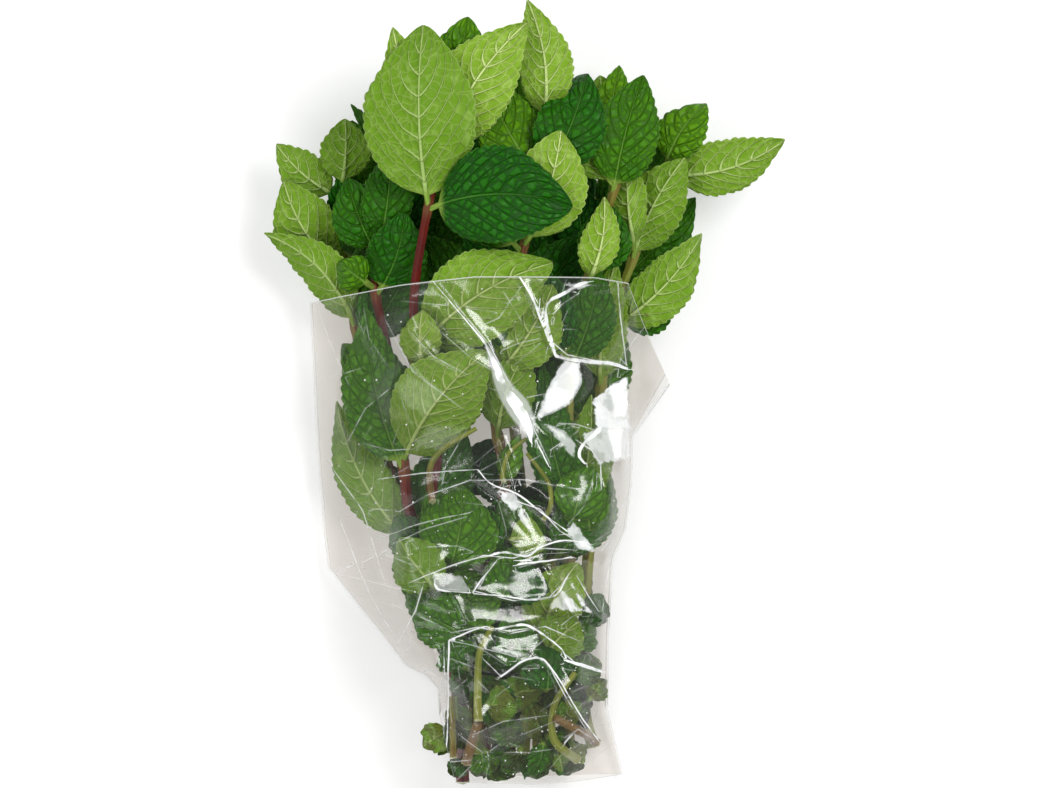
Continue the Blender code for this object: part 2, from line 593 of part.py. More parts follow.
def sleeve_solid(pile):
    """The film as one closed wall: an outer skin, an inner skin, and a rim at the foot and at the mouth."""
    heights = front_heights(pile)
    columns, back = np.array(FRONT_COLUMNS), np.array(BACK_COLUMNS)
    around = len(columns) + len(back)
    points = []
    for row, v in enumerate(sleeve_rows()):
        front_xy, back_xy = sleeve_point(columns, v), sleeve_point(back, v)
        width = np.linalg.norm(front_xy[-1] - front_xy[0])
        inset = columns.copy()
        inset[0], inset[-1] = SEAM_INSET / width, 1 - SEAM_INSET / width
        inner_xy = sleeve_point(inset, v)
        top, low = heights[row], back_height(back, v)
        outer_top = np.where((columns == 0) | (columns == 1), top, top + FILM)
        points += [(*xy, z) for xy, z in zip(front_xy, outer_top)]
        points += [(*xy, z) for xy, z in zip(back_xy, low)]
        points += [(*xy, z) for xy, z in zip(inner_xy, top)]
        points += [(*xy, z + FILM) for xy, z in zip(back_xy, low)]
    faces = []
    rows = len(heights)
    for row in range(rows - 1):
        base, above = 2 * around * row, 2 * around * (row + 1)
        for k in range(around):
            m = (k + 1) % around
            faces += [(base + k, base + m, above + m), (base + k, above + m, above + k)]
            a, b, c, d = base + around + k, base + around + m, above + around + m, above + around + k
            faces += [(a, c, b), (a, d, c)]
    for row, turned in ((0, False), (rows - 1, True)):
        base = 2 * around * row
        for k in range(around):
            m = (k + 1) % around
            a, b, c, d = base + k, base + m, base + around + m, base + around + k
            faces += [(a, b, c), (a, c, d)] if turned else [(a, c, b), (a, d, c)]
    return np.array(points), faces


def material(name, colour, roughness, alpha):
    """A Principled BSDF of one colour."""
    made = bpy.data.materials.new(name)
    made.use_nodes = True
    shader = made.node_tree.nodes["Principled BSDF"]
    shader.inputs["Base Color"].default_value = (*colour, 1)
    shader.inputs["Roughness"].default_value = roughness
    shader.inputs["Metallic"].default_value = 0
    shader.inputs["Alpha"].default_value = alpha
    made.diffuse_color = (*colour, alpha)
    return made


def add_object(name, solid, finish, collection):
    """A mesh object from points in millimetres and its triangles."""
    points, faces = solid
    mesh = bpy.data.meshes.new(name)
    mesh.from_pydata([tuple(point) for point in points * MM], [], [tuple(map(int, face)) for face in faces])
    mesh.materials.append(finish)
    made = bpy.data.objects.new(name, mesh)
    collection.objects.link(made)
    return made


def keep_one_body(mesh):
    """Fills the hollows that leaves seal between them, and drops loose scraps: only the largest shell stays."""
    shells = bmesh.new()
    shells.from_mesh(mesh)
    left, islands = set(shells.verts), []
    while left:
        island, edge = set(), [left.pop()]
        while edge:
            corner = edge.pop()
            island.add(corner)
            near = {link.other_vert(corner) for link in corner.link_edges} & left
            left -= near
            edge += near
        islands.append(island)
    islands.sort(key=len)
    for island in islands[:-1]:
        bmesh.ops.delete(shells, geom=list(island), context="VERTS")
    shells.to_mesh(mesh)
    shells.free()


def join_sprig(stem, leaves, finish):
    """One sprig: its leaves joined to its stem in one body."""
    scene = bpy.context.scene.collection
    sprig = add_object(stem.sprig, stem.solid(), finish, scene)
    blades = bpy.data.collections.new(stem.sprig + "_blades")
    scene.children.link(blades)
    for leaf in leaves:
        add_object(f"{stem.sprig}_leaf_{leaf.number}", leaf.solid(), finish, blades)
    union = sprig.modifiers.new("Leaves", "BOOLEAN")
    union.operation = "UNION"
    union.operand_type = "COLLECTION"
    union.solver = "MANIFOLD"
    union.collection = blades
    joined = bpy.data.meshes.new_from_object(sprig.evaluated_get(bpy.context.evaluated_depsgraph_get()))
    sprig.modifiers.clear()
    keep_one_body(joined)
    sprig.data = joined
    for blade in list(blades.objects):
        bpy.data.objects.remove(blade)
    bpy.data.collections.remove(blades)
    return sprig


def main():
    for old in list(bpy.data.objects):
        bpy.data.objects.remove(old)
    stems, leaves, pile = lay_bunch()
    for name, stem in stems.items():
        finish = material("mint_" + name, LEAF_GREEN, 0.5, 1)
        join_sprig(stem, [leaf for leaf in leaves if leaf.sprig == name], finish)
    film = material("clear_film", FILM_GREY, 0.12, 0.3)
    add_object("sleeve", sleeve_solid(pile), film, bpy.context.scene.collection)


main()
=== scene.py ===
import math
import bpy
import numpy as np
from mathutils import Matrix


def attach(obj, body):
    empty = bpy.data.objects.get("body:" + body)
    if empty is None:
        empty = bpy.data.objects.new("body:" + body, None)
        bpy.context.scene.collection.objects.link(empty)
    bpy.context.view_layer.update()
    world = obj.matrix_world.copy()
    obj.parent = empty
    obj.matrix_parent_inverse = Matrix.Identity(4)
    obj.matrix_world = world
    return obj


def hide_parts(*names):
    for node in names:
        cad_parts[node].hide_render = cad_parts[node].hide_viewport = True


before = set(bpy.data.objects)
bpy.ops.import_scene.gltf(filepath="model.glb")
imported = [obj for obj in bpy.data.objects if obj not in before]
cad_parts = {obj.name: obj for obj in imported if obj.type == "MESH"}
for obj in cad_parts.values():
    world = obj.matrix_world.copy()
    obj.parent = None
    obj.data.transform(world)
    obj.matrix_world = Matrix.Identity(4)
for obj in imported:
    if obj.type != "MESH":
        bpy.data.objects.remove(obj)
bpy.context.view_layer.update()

# %% [markdown]
# # A bunch of fresh mint in a film sleeve
# Eleven leafy sprigs lie one on another inside an open sleeve of clear film. The imported model holds them as plain
# solids. This script keeps their places and gives them what a plain solid lacks: leaves that are quilted between
# their veins, square stems with swollen nodes, film thin enough to crease, with flashes that are partly mirrored
# and partly painted highlights, and dew inside it.
# Every size below is in millimetres, and becomes metres only where a mesh is made.

MM = 0.001

# %% [markdown]
# ## Where every stem and leaf goes
# A real bunch is laid by hand, sprig on sprig, and each new leaf rests on those already there. The solids were
# made that way, so the same rules are used again here: a table of heights says where the top of the pile is, and
# each piece is lifted just enough to lie over it. Placing each leaf by hand would be the other way, but a hundred
# leaves that must not cut through one another are quicker to lay by rule.

# %% Sizes of leaves and stems
PETIOLE_HALF_WIDTH = 0.85
PETIOLE_LENGTH = 4.0
PETIOLE_MOST = 0.3  # the largest share of a short leaf that its petiole takes
BASE_POWER = 0.52  # how full the blade is towards its base: less is fuller
TIP_POWERS = (0.62, 0.9)  # a broad leaf's and a narrow one's towards its tip
FOLD_DEG = 9.0
RIPPLES = 1.6  # waves of the margin along a leaf
RIPPLE_SHARE = 0.035  # their height, as a share of the leaf's width
RIPPLE_SHIFT = 0.17
GOLDEN = 0.618  # spreads the leaves' phases evenly
TOOTH_PITCH = 6.0
TEETH = (4, 8)  # the fewest and the most on one side
TOOTH_DEPTH = 1.1
TOOTH_RISE = 0.72  # the share of a tooth that its long outer edge takes
MIDRIB_STEPS = 6
STEM_RADIUS = 2.1
STEM_TIP_SHARE = 0.5
STEM_SAMPLES = 241
print("a stem is", 2 * STEM_RADIUS, "mm across its corners at the cut end")

# %% Rules of the pile
CELL = 1.0
HALF_X, HALF_Y = 96, 136
LEAF_GAP = 1.3  # between the middle surfaces of two leaves that lie one on the other
STEM_GAP = 0.7
REACH = 2  # cells round a point that what lies there must clear
PETIOLE_GAP = 2.1
LEAF_CONTROLS = 9  # how many lifts there are along a leaf
FIXED_CONTROLS = 6  # the lifts at a leaf's root, which stay at the stem
STEM_CONTROLS = 24
RELAX_ROUNDS = 40
LEAF_BRIDGES = 3  # rounds that make a piece bridge the valleys under it
STEM_BRIDGES = 3
MESH_SAMPLES = 10  # samples along each edge of a leaf's triangles
ROOT_FREE = 3.0
ROOT_BLEND = 7.0
SPRIG_RANK = 10
print("two leaves lie", LEAF_GAP, "mm apart")

# %% The flattened sleeve
FILM = 0.6
FILM_ROOM = 0.5
TABLE_GAP = 0.3
SEAM_INSET = 0.8
SEAM_GAP = 0.3  # between the two panels' inner faces beside a seam
SEAM_RISE = (2.0, 9.0)  # how high the seams are held off the table, at the foot and at the mouth
FLAT_SHARE = 0.5  # the share of the back panel's width that lies flat
SLEEVE_ROWS = (
    ((-27.4, -92.0), (26.4, -98.0)),
    ((-31.5, -87.8), (26.6, -87.0)),
    ((-37.5, -85.2), (26.8, -80.0)),
    ((-43.5, -77.0), (27.0, -72.0)),
    ((-52.0, -66.5), (27.6, -63.0)),
    ((-61.5, -54.4), (28.4, -51.5)),
    ((-62.8, -44.0), (32.4, -42.0)),
    ((-63.9, -30.0), (34.2, -28.0)),
    ((-65.0, -16.0), (34.6, -13.0)),
)
FOOT_RIM = (
    (0.0, -26.4, -97.0),
    (0.07, -23.6, -109.0),
    (0.14, -21.0, -119.6),
    (0.5, 2.0, -120.5),
    (1.0, 31.5, -119.5),
)
MOUTH_RIM = (
    (0.0, -67.1, 28.7),
    (0.28, -38.3, 33.9),
    (0.5, -15.0, 36.4),
    (0.82, 22.0, 36.4),
    (0.9, 32.4, 34.7),
    (0.96, 37.6, 21.7),
    (1.0, 46.0, 3.1),
)
FOOT_STEPS = 4
MOUTH_STEPS = 5
print("the sleeve is laid out in", len(SLEEVE_ROWS), "straight rows and two rims")

# %% [markdown]
# ## The sprigs
# Each stem is a line of a few points from its cut end up, then its flush from green to purple. Each leaf is a row:
# where it leaves the stem, where its tip lies, its rise, width, arch, bow and roll, the side that shows, how much
# later it is laid, and its tone from dark to bright. Mint has two opposite leaves at each node, turned a quarter
# from one node to the next, and they grow smaller towards the tip of the stem.

# %% The table of sprigs
UNDER, UPPER = "under", "upper"
SPRIGS = {
    "sprig_1": (
        ((-7, -117, 4), (-8, -90, 4), (-12, -60, 4.5), (-20, -35, 5), (-32, 0, 6), (-40, 34, 8), (-44, 60, 10),
         (-45, 78, 13)),
        0.3,
        (
            (-99, (-27, -113.5), 0, 10, 1, -1, 0, UPPER, 0, 0.8),
            (-76, (-30, -54), 1, 18, 1, 2, 0, UPPER, 0, 0.3),
            (-72, (6, -50), 1, 18, 1, -2, 0, UPPER, 0, 0.4),
            (-46, (-46, -22), 2, 20, 2, 2, 0, UPPER, 0, 0.4),
            (-12, (-57, 16), 2, 22, 2, 2, 0, UPPER, 0, 0.5),
            (-10, (-12, 26), 3, 24, 2, -3, 0, UPPER, 0, 0.3),
            (28, (-67, 60), 0, 21, 3, 3, -6, UPPER, 0, 0.6),
            (30, (-18, 66), 3, 25, 3, -3, 6, UPPER, 0, 0.3),
            (56, (-54, 86), 4, 18, 3, 2, 0, UPPER, 0, 0.4),
            (58, (-26, 88), 3, 19, 3, -2, 0, UPPER, 0, 0.2),
            (76, (-54, 91), 3, 8, 1, 0, 62, UPPER, 0, 0.3),
        ),
    ),
    "sprig_2": (
        ((7, -117, 4), (8, -80, 4), (12, -40, 5), (16, 0, 6), (18, 32, 8), (22, 58, 10), (27, 76, 13)),
        0.2,
        (
            (-52, (26, -22), 1, 18, 2, -2, 0, UPPER, 0, 0.4),
            (-14, (-2, 22), 2, 22, 2, 2, 0, UPPER, 0, 0.3),
            (-10, (30, 24), 2, 19, 2, -2, 0, UPPER, 0, 0.4),
            (26, (-2, 60), 2, 26, 3, 3, 0, UPPER, 0, 0.1),
            (28, (54, 62), 2, 24, 3, -3, 6, UPPER, 0, 0.3),
            (54, (2, 90), 3, 24, 3, 3, 0, UPPER, 0, 0.1),
            (56, (49, 85), 3, 22, 3, -3, 0, UPPER, 0, 0.3),
            (74, (24, 100), 4, 16, 3, 0, 0, UNDER, 0, 0.4),
            (76, (30, 103), 5, 14, 3, 1, 10, UPPER, 0, 0.8),
        ),
    ),
    "sprig_3": (
        ((0, -116, 4), (0, -80, 4), (0, -40, 6), (-4, 0, 8), (-8, 36, 11), (-8, 66, 14), (-6, 86, 17)),
        0.3,
        (
            (-56, (18, -30), 1, 19, 1, -2, 0, UPPER, 0, 0.4),
            (20, (18, 50), 2, 22, 2, -2, 0, UPPER, 0, 0.1),
            (24, (-36, 50), 2, 24, 3, 3, 0, UPPER, 0, 0.3),
            (54, (20, 80), 3, 22, 3, -2, 0, UPPER, 0, 0.1),
            (56, (-34, 84), 3, 22, 3, 2, 0, UPPER, 0, 0.3),
            (80, (8, 108), 4, 19, 3, -2, 0, UPPER, 0, 0.5),
            (82, (-18, 108), 4, 19, 3, 2, 0, UPPER, 0, 0.4),
        ),
    ),
    "sprig_4": (
        ((-16, -117, 4), (-21, -90, 5), (-27, -66, 6), (-37, -42, 8), (-46, -8, 11), (-52, 18, 13), (-56, 40, 16),
         (-57, 60, 19), (-57, 68, 20)),
        0.5,
        (
            (-46, (-58.5, -2), 1, 18, 3, 4, -14, UNDER, 0, 0.4),
            (-42, (-18, -12), 2, 20, 2, -2, 0, UPPER, 0, 0.25),
            (21, (-80.8, 50.4), 4, 16, 4, -5, -24, UNDER, 9, 0.5),
            (16, (-32, 48), 4, 20, 3, -2, 6, UPPER, 0, 0.25),
            (38, (-74.6, 66.5), 4, 21, 4, 3, -10, UNDER, 1, 0.55),
            (40, (-42, 72), 5, 18, 3, -2, 8, UPPER, 1, 0.25),
            (62, (-77, 78.2), 4, 14, 3, 2, -8, UNDER, 0, 0.5),
            (64, (-55.6, 86), 6, 16, 3, -1, 6, UNDER, 2, 0.4),
        ),
    ),
    "sprig_5": (
        ((22, -111, 4), (19, -98, 4), (19, -70, 5), (21, -40, 8), (24, 0, 13), (28, 24, 17), (34, 42, 20),
         (41, 60, 24), (44, 70, 26)),
        0.3,
        (
            (-42, (8, -8), 2, 18, 2, 2, 0, UPPER, 0, 0.3),
            (-40, (26, -6), 2, 12, 2, 2, 0, UPPER, 0, 0.3),
            (2, (29, 42), 4, 16, 3, 2, -8, UNDER, 6, 0.6),
            (21, (55.4, 50.2), 5, 18, 4, -3, -14, UNDER, 4, 0.55),
            (22, (48, 31), 0, 15, 2, -1, 0, UPPER, 0, 0.2),
            (42, (50, 73.4), 5, 20, 4, 2, 8, UNDER, 3, 0.5),
            (44, (32.4, 74), 7, 15, 2, 1, 30, UNDER, 5, 0.6),
            (69, (81.2, 79.4), 3, 19, 5, -4, 26, UNDER, 0, 0.6),
            (70, (56.6, 90.4), 5, 15, 3, 2, 6, UPPER, 0, 0.6),
        ),
    ),
    "sprig_6": (
        ((14, -114, 4), (13, -94, 4), (13, -76, 5), (14, -56, 7), (15, -34, 11), (14, -12, 15), (15, 12, 19),
         (20, 36, 25), (27, 60, 29), (31, 70, 31)),
        0.4,
        (
            (-38, (21, 0), 2, 16, 2, -2, 0, UNDER, 0, 0.4),
            (-36, (6, 10), 2, 16, 2, 2, 0, UPPER, 0, 0.3),
            (8, (24, 38), 2, 17, 2, -1, 0, UPPER, 0, 0.3),
            (10, (0, 44), 2, 20, 2, 2, 0, UPPER, 0, 0.1),
            (36, (28, 58), 3, 17, 3, -1, 0, UPPER, 0, 0.2),
            (34, (25, 61), 8, 14, 2, -2, 30, UNDER, 3, 0.9),
            (62, (37, 98.6), 5, 21, 4, 1, 4, UPPER, 3, 0.35),
            (64, (17, 92), 4, 18, 3, 2, 0, UNDER, 0, 0.5),
        ),
    ),
    "sprig_7": (
        ((-12, -115, 5), (-13, -97, 5), (-11, -76, 6), (-8, -51, 14), (-6, -26, 22), (-9, -6, 27), (-8, 14, 30),
         (-1, 42, 33), (5, 64, 36), (6, 84, 38)),
        0.6,
        (
            (-14, (0.6, 13), 2, 18, 2, 2, 0, UNDER, 0, 0.5),
            (6, (9, 34), 3, 20, 3, -2, 0, UNDER, 0, 0.6),
            (10, (-14, 44), 3, 17, 3, 2, 0, UPPER, 0, 0.3),
            (46, (11.5, 81), 4, 24, 4, -2, 0, UNDER, 3, 0.9),
            (44, (-22, 78), 3, 22, 4, 2, 0, UPPER, 0, 0.3),
            (67, (19.6, 99), 5, 22, 4, -2, 6, UPPER, 1, 0.1),
            (66, (-12, 100), 4, 20, 4, 2, 0, UPPER, 0, 0.6),
            (85, (1.2, 121.7), 9, 17, 4, -3, -10, UNDER, 2, 0.8),
        ),
    ),
    "sprig_8": (
        ((-3, -117, 6), (-14, -86, 9), (-26, -56, 12), (-35, -38, 15), (-37.4, -22, 18), (-42, 12, 24),
         (-46, 32, 28), (-45, 44, 31), (-44, 50, 32)),
        0.85,
        (
            (-24, (-48.5, 27), 4, 22, 3, 3, -4, UPPER, 0, 0.4),
            (-21, (-11.3, 13.4), 5, 27, 4, 3, 0, UNDER, 40, 0.6),
            (31, (-36.6, 56), 5, 19, 3, -2, 6, UPPER, 2, 0.1),
            (33, (-57.4, 41), 2, 12, 2, 0, 0, UPPER, 3, 0.5),
            (43, (-54.6, 67), 5, 17, 3, 1, 0, UPPER, 0, 0.2),
            (46, (-41, 76), 5, 16, 3, -1, 0, UPPER, 0, 0.2),
        ),
    ),
    "sprig_9": (
        ((-19, -121.4, 5), (-20, -100, 7), (-24, -60, 12), (-28.4, -32, 18), (-27, -18, 24), (-30, 4, 35),
         (-33.4, 20, 41), (-33.4, 34, 43), (-29.6, 56, 43), (-25, 74, 44), (-22, 90, 45)),
        1,
        (
            (14, (9, 40.6), 4, 28, 4, 4, 0, UNDER, 0, 0.6),
            (6, (-31, 26), 2, 13, 2, 1, 0, UNDER, 1, 0.7),
            (58, (-30.5, 113), 9, 35, 5, 2, 0, UNDER, 30, 0.45),
            (57, (15, 58), 6, 30, 4, 4, 0, UPPER, 31, 0),
            (75, (1, 114), 7, 24, 4, 3, -6, UNDER, 2, 0.95),
            (74, (-40, 112.6), 6, 18, 3, 2, 0, UNDER, 1, 0.8),
            (91, (-17, 116), 7, 18, 4, 0, 0, UPPER, 0, 0.6),
        ),
    ),
    "sprig_10": (
        ((-14, -112, 9), (-15, -94, 12), (-16, -78, 15), (-14, -62, 18), (-11, -48, 20)),
        0.35,
        (
            (-100, (-19, -82), 1, 12, 1, 0, 0, UPPER, 0, 0.3),
            (-98, (-2, -90), 1, 15, 1, 1, 0, UPPER, 0, 0.4),
            (-109, (-3, -119), 0, 12, 1, 0, 0, UPPER, 0, 0.4),
            (-80, (3, -64), 1, 19, 1, -3, 0, UPPER, 0, 0.5),
            (-74, (-38, -56), 1, 22, 2, -4, 0, UPPER, 0, 0.4),
            (-56, (-30, -30), 2, 17, 2, 2, 0, UPPER, 0, 0.5),
            (-52, (7, -34), 2, 18, 2, 3, 0, UPPER, 0, 0.2),
        ),
    ),
    "sprig_11": (
        ((5, -112, 9), (6, -96, 12), (6, -80, 18), (8, -64, 24), (9, -50, 28)),
        0.15,
        (
            (-109, (19, -117), 0, 12, 1, 0, 0, UPPER, 0, 0.3),
            (-104, (-12, -102), 1, 14, 1, 0, 0, UPPER, 0, 0.6),
            (-102, (22, -88), 1, 15, 1, 0, 0, UPPER, 0, 0.3),
            (-86, (-10, -76), 1, 16, 1, 0, 0, UPPER, 0, 0.4),
            (-80, (17, -52), 1, 19, 1, 3, 0, UNDER, 0, 0.9),
            (-54, (-7, -32), 2, 17, 2, 2, 0, UPPER, 0, 0.4),
            (-52, (22, -26), 2, 17, 2, -2, 0, UPPER, 0, 0.3),
        ),
    ),
}
print(len(SPRIGS), "sprigs are written down")

# %% [markdown]
# ## The crushed leaves
# Low in the sleeve, every stem still has leaves, pressed together where the bunch was gathered. The solids leave
# them out, as they only fill the space between the others. They are laid by the same rule: most are laid last, on
# top and just under the film, and a few lie low, behind the stems or in the gaps between the leaves of the crown.

# %% The table of crushed leaves
ON_TOP = 150  # laid after all the leaves above
CRUSHED = {
    "sprig_1": (
        (-34, (-10, -14), 1, 15, 1, -1, 0, UPPER, 0, 0.05),
        (-92, (-17, -78), 1, 13, 1, 1, 0, UPPER, 0, 0.06),
        (-84, (-30, -70), 1, 12, 1, 1, 4, UPPER, ON_TOP, 0.05),
        (-104, (-16, -88), 1, 12, 1, -2, 0, UPPER, ON_TOP, 0.1),
        (44, (-28, 68), 1, 14, 1, 0, 0, UPPER, 0, 0.0),
    ),
    "sprig_2": (
        (-30, (9, -6), 1, 17, 1, 1, 0, UNDER, 0, 0.5),
        (-70, (20, -54), 1, 15, 1, 1, 0, UPPER, 0, 0.16),
        (-106, (12, -118), 0, 8, 1, 1, 8, UNDER, ON_TOP, 0.35),
        (40, (17, 66), 1, 16, 1, 0, 0, UPPER, 0, 0.0),
    ),
    "sprig_3": (
        (-36, (-12, -18), 1, 15, 1, 1, 0, UPPER, 0, 0),
        (-48, (5, -27), 1, 16, 1, -1, 0, UPPER, 0, 0.05),
        (-92, (6, -109), 1, 10, 2, 1, 0, UNDER, ON_TOP, 0.1),
        (-90, (1, -74), 1, 14, 2, 1, 6, UNDER, ON_TOP, 0.34),
        (-107, (-6, -118), 0, 9, 1, 1, 10, UPPER, ON_TOP, 0.45),
        (-62, (-24, -66), 1, 13, 1, 2, 6, UPPER, ON_TOP, 0.1),
        (64, (-19, 84), 1, 13, 1, 0, 0, UPPER, 0, 0.0),
        (34, (-15, 56), 1, 14, 1, 0, 0, UPPER, 0, 0.0),
    ),
    "sprig_4": (
        (-60, (-36, -46), 1, 15, 1, 1, 0, UPPER, 0, 0.16),
        (-92, (-18, -107), 1, 9, 1, -1, 0, UNDER, ON_TOP, 0.21),
        (-112, (-23, -119), 0, 7, 1, 0, 0, UPPER, ON_TOP, 0.2),
        (-72, (-7, -58), 3, 22, 3, 2, -8, UPPER, ON_TOP, 0.55),
        (48, (-56, 70), 1, 10, 1, 0, 0, UPPER, 0, 0.0),
    ),
    "sprig_5": (
        (-46, (14, -24), 1, 15, 2, -2, 0, UPPER, ON_TOP, 0.56),
        (-96, (25, -89), 0, 9, 1, 0, 10, UNDER, ON_TOP, 0.52),
        (-76, (24, -62), 1, 12, 1, 1, 0, UPPER, 0, 0.24),
    ),
    "sprig_6": (
        (-42, (21, -22), 1, 16, 2, 1, 6, UPPER, ON_TOP, 0.48),
        (-90, (24, -83), 1, 11, 1, 1, 0, UPPER, ON_TOP, 0.44),
        (-80, (22, -72), 1, 12, 1, 1, 8, UPPER, ON_TOP, 0.36),
        (-108, (18, -115), 0, 7, 1, 1, 0, UNDER, ON_TOP, 0.4),
        (-100, (20, -104), 0, 10, 1, 1, 0, UPPER, 0, 0.12),
        (-86, (12, -100), 1, 12, 1, -1, 10, UPPER, ON_TOP, 0.05),
    ),
    "sprig_7": (
        (-30, (-1, -12), 2, 8, 1, 1, 20, UPPER, 0, 0.7),
        (-46, (7, -46), 2, 13, 2, 2, 0, UNDER, ON_TOP, 0.76),
        (-53, (-17, -33), 2, 16, 2, 1, 0, UPPER, ON_TOP, 0.25),
        (-66, (-3, -47), 2, 17, 2, -2, 8, UPPER, ON_TOP, 0.38),
        (-88, (-6, -72), 2, 16, 2, 1, 0, UPPER, ON_TOP, 0.26),
        (-108, (-3, -113), 0, 12, 1, 1, 0, UPPER, 0, 0.12),
        (-98, (8, -90), 1, 11, 1, 2, -10, UNDER, ON_TOP, 0.2),
        (-58, (8, -60), 1, 12, 1, 1, 8, UPPER, ON_TOP, 0.05),
    ),
    "sprig_8": (
        (-52, (-40, -38), 1, 14, 1, 1, 0, UPPER, 0, 0.24),
        (-70, (-34, -55), 1, 17, 2, 1, -8, UPPER, ON_TOP, 0.31),
    ),
    "sprig_9": (
        (-57, (-19, -28), 2, 25, 3, -2, -8, UPPER, ON_TOP, 0.48),
        (-62, (-38, -44), 1, 17, 2, 1, 0, UNDER, ON_TOP, 0.31),
        (-102, (-31, -110), 0, 10, 1, -1, 0, UNDER, ON_TOP, 0.5),
    ),
    "sprig_10": (
        (-76, (-34, -66), 1, 17, 2, -1, 0, UPPER, ON_TOP, 0.39),
        (-84, (-5, -104), 2, 14, 2, 1, 6, UPPER, ON_TOP, 0.26),
        (-86, (-22, -75), 2, 14, 2, 1, -8, UPPER, ON_TOP, 0.29),
        (-108, (-13, -119), 0, 10, 1, 1, 0, UPPER, ON_TOP, 0.5),
        (-96, (-2, -96), 1, 12, 1, 1, 8, UNDER, ON_TOP, 0.15),
        (-102, (-24, -108), 1, 10, 1, -1, 6, UPPER, ON_TOP, 0.0),
    ),
    "sprig_11": (
        (-82, (17, -70), 2, 16, 2, 1, 0, UNDER, ON_TOP, 0.46),
        (-94, (5, -77), 2, 17, 3, -2, 8, UPPER, ON_TOP, 0.16),
        (-84, (-6, -68), 2, 14, 2, 2, 0, UPPER, ON_TOP, 0.31),
        (-108, (1, -119), 0, 10, 1, 1, 12, UPPER, ON_TOP, 0.15),
        (-106, (13, -109), 1, 10, 1, 1, 0, UPPER, ON_TOP, 0.55),
        (-104, (2, -118), 1, 8, 1, 2, 6, UPPER, ON_TOP, 0.3),
        (-100, (18, -96), 1, 9, 1, -1, -6, UNDER, ON_TOP, 0.1),
    ),
}
print(sum(len(rows) for rows in CRUSHED.values()), "crushed leaves are written down")

# %% Smooth lines and runs
def spline(points, steps):
    """A smooth line through the points: (x, y, z) at each step, by Catmull-Rom."""
    points = np.array(points, float)
    ends = np.vstack([2 * points[0] - points[1], points, 2 * points[-1] - points[-2]])
    place = np.linspace(0, len(points) - 1, steps)
    at = np.minimum(place.astype(int), len(points) - 2)
    f = (place - at)[:, None]
    a, b, c, d = (ends[at + k] for k in range(4))
    return b + f / 2 * (c - a + f * (2 * a - 5 * b + 4 * c - d + f * (3 * (b - c) + d - a)))


def run_basis(s, count):
    """Quadratic B-spline weights of each control along s, from 0 to 1."""
    place = np.clip(s, 0, 1) * (count - 2)
    at = np.minimum(place.astype(int), count - 3)
    f = place - at
    weights = np.zeros((len(s), count))
    rows = np.arange(len(s))
    weights[rows, at] = (1 - f) ** 2 / 2
    weights[rows, at + 1] = 0.5 + f - f * f
    weights[rows, at + 2] = f * f / 2
    return weights


def leaf_basis(s, t):
    """Weights of a leaf's lifts: the left margin, the midrib and the right margin at each control along it."""
    across = np.stack([np.maximum(-t, 0), 1 - abs(t), np.maximum(t, 0)], axis=1)
    return (run_basis(s, LEAF_CONTROLS)[:, :, None] * across[:, None, :]).reshape(len(s), -1)


print("a line through three points has its middle at", spline([(0, 0, 0), (1, 1, 0), (2, 0, 0)], 3)[1])

# %% Lifting a piece just enough
def triangle_samples(triangles, count, steps):
    """Weights that spread samples over each triangle: a row for each sample, a column for each point."""
    shares = [(i / steps, j / steps, 1 - (i + j) / steps) for i in range(steps + 1) for j in range(steps + 1 - i)]
    shares = np.array(shares)
    weights = np.zeros((len(triangles), len(shares), count))
    for row, corners in enumerate(triangles):
        for k in range(3):
            weights[row, :, corners[k]] += shares[:, k]
    return weights.reshape(-1, count)


def least_lift(weights, need, fixed, level):
    """The lift of each control that keeps every sample at or above its need, without waste.

    No lift is under its level, and a fixed one stays there.
    """
    held = weights > 1e-9
    lift = np.maximum(np.where(held, need[:, None], -np.inf).max(axis=0), level)
    lift[fixed] = level[fixed]
    for _ in range(RELAX_ROUNDS):
        slack = weights @ lift - need
        spare = np.where(held, slack[:, None], np.inf).min(axis=0)
        lift = np.maximum(lift - np.maximum(spare, 0), level)
        lift[fixed] = level[fixed]
    return lift


def bridged(lift, fixed, rounds):
    """Lifts raised, along each axis of their grid, to bridge the valleys between the high ones."""
    for _ in range(rounds):
        for axis in range(lift.ndim):
            if lift.shape[axis] < 3:
                continue
            level = np.moveaxis(lift, axis, 0)
            raised = np.maximum(level[1:-1], (level[:-2] + level[2:]) / 2)
            level[1:-1] = np.where(np.moveaxis(fixed, axis, 0)[1:-1], level[1:-1], raised)
    return lift


print("a valley between two heights is bridged:", bridged(np.array([2.0, 0.0, 2.0]), np.zeros(3, bool), 1))

# %% The sleeve laid flat
def sleeve_point(u, v):
    """Where a point of the flattened sleeve lies: u across from left to right, v from its foot to its mouth."""
    u, v = np.broadcast_arrays(np.asarray(u, float), np.asarray(v, float))
    rows = np.array(SLEEVE_ROWS)
    straight = len(rows) - 1
    place = np.clip(v, 0, 1) * (FOOT_STEPS + straight + MOUTH_STEPS) - FOOT_STEPS
    low = np.clip(place, 0, straight)
    left, right = (np.stack([np.interp(low, range(len(rows)), rows[:, k, c]) for c in (0, 1)]) for k in (0, 1))
    point = left + u * (right - left)
    for rim, share in ((FOOT_RIM, -place / FOOT_STEPS), (MOUTH_RIM, (place - straight) / MOUTH_STEPS)):
        rim = np.array(rim)
        end = np.stack([np.interp(u, rim[:, 0], rim[:, c]) for c in (1, 2)])
        end += (u - np.clip(u, 0, 1)) * (rim[-1, 1:] - rim[0, 1:])[:, None]
        point += np.maximum(share, 0) * (end - point)
    return point.T


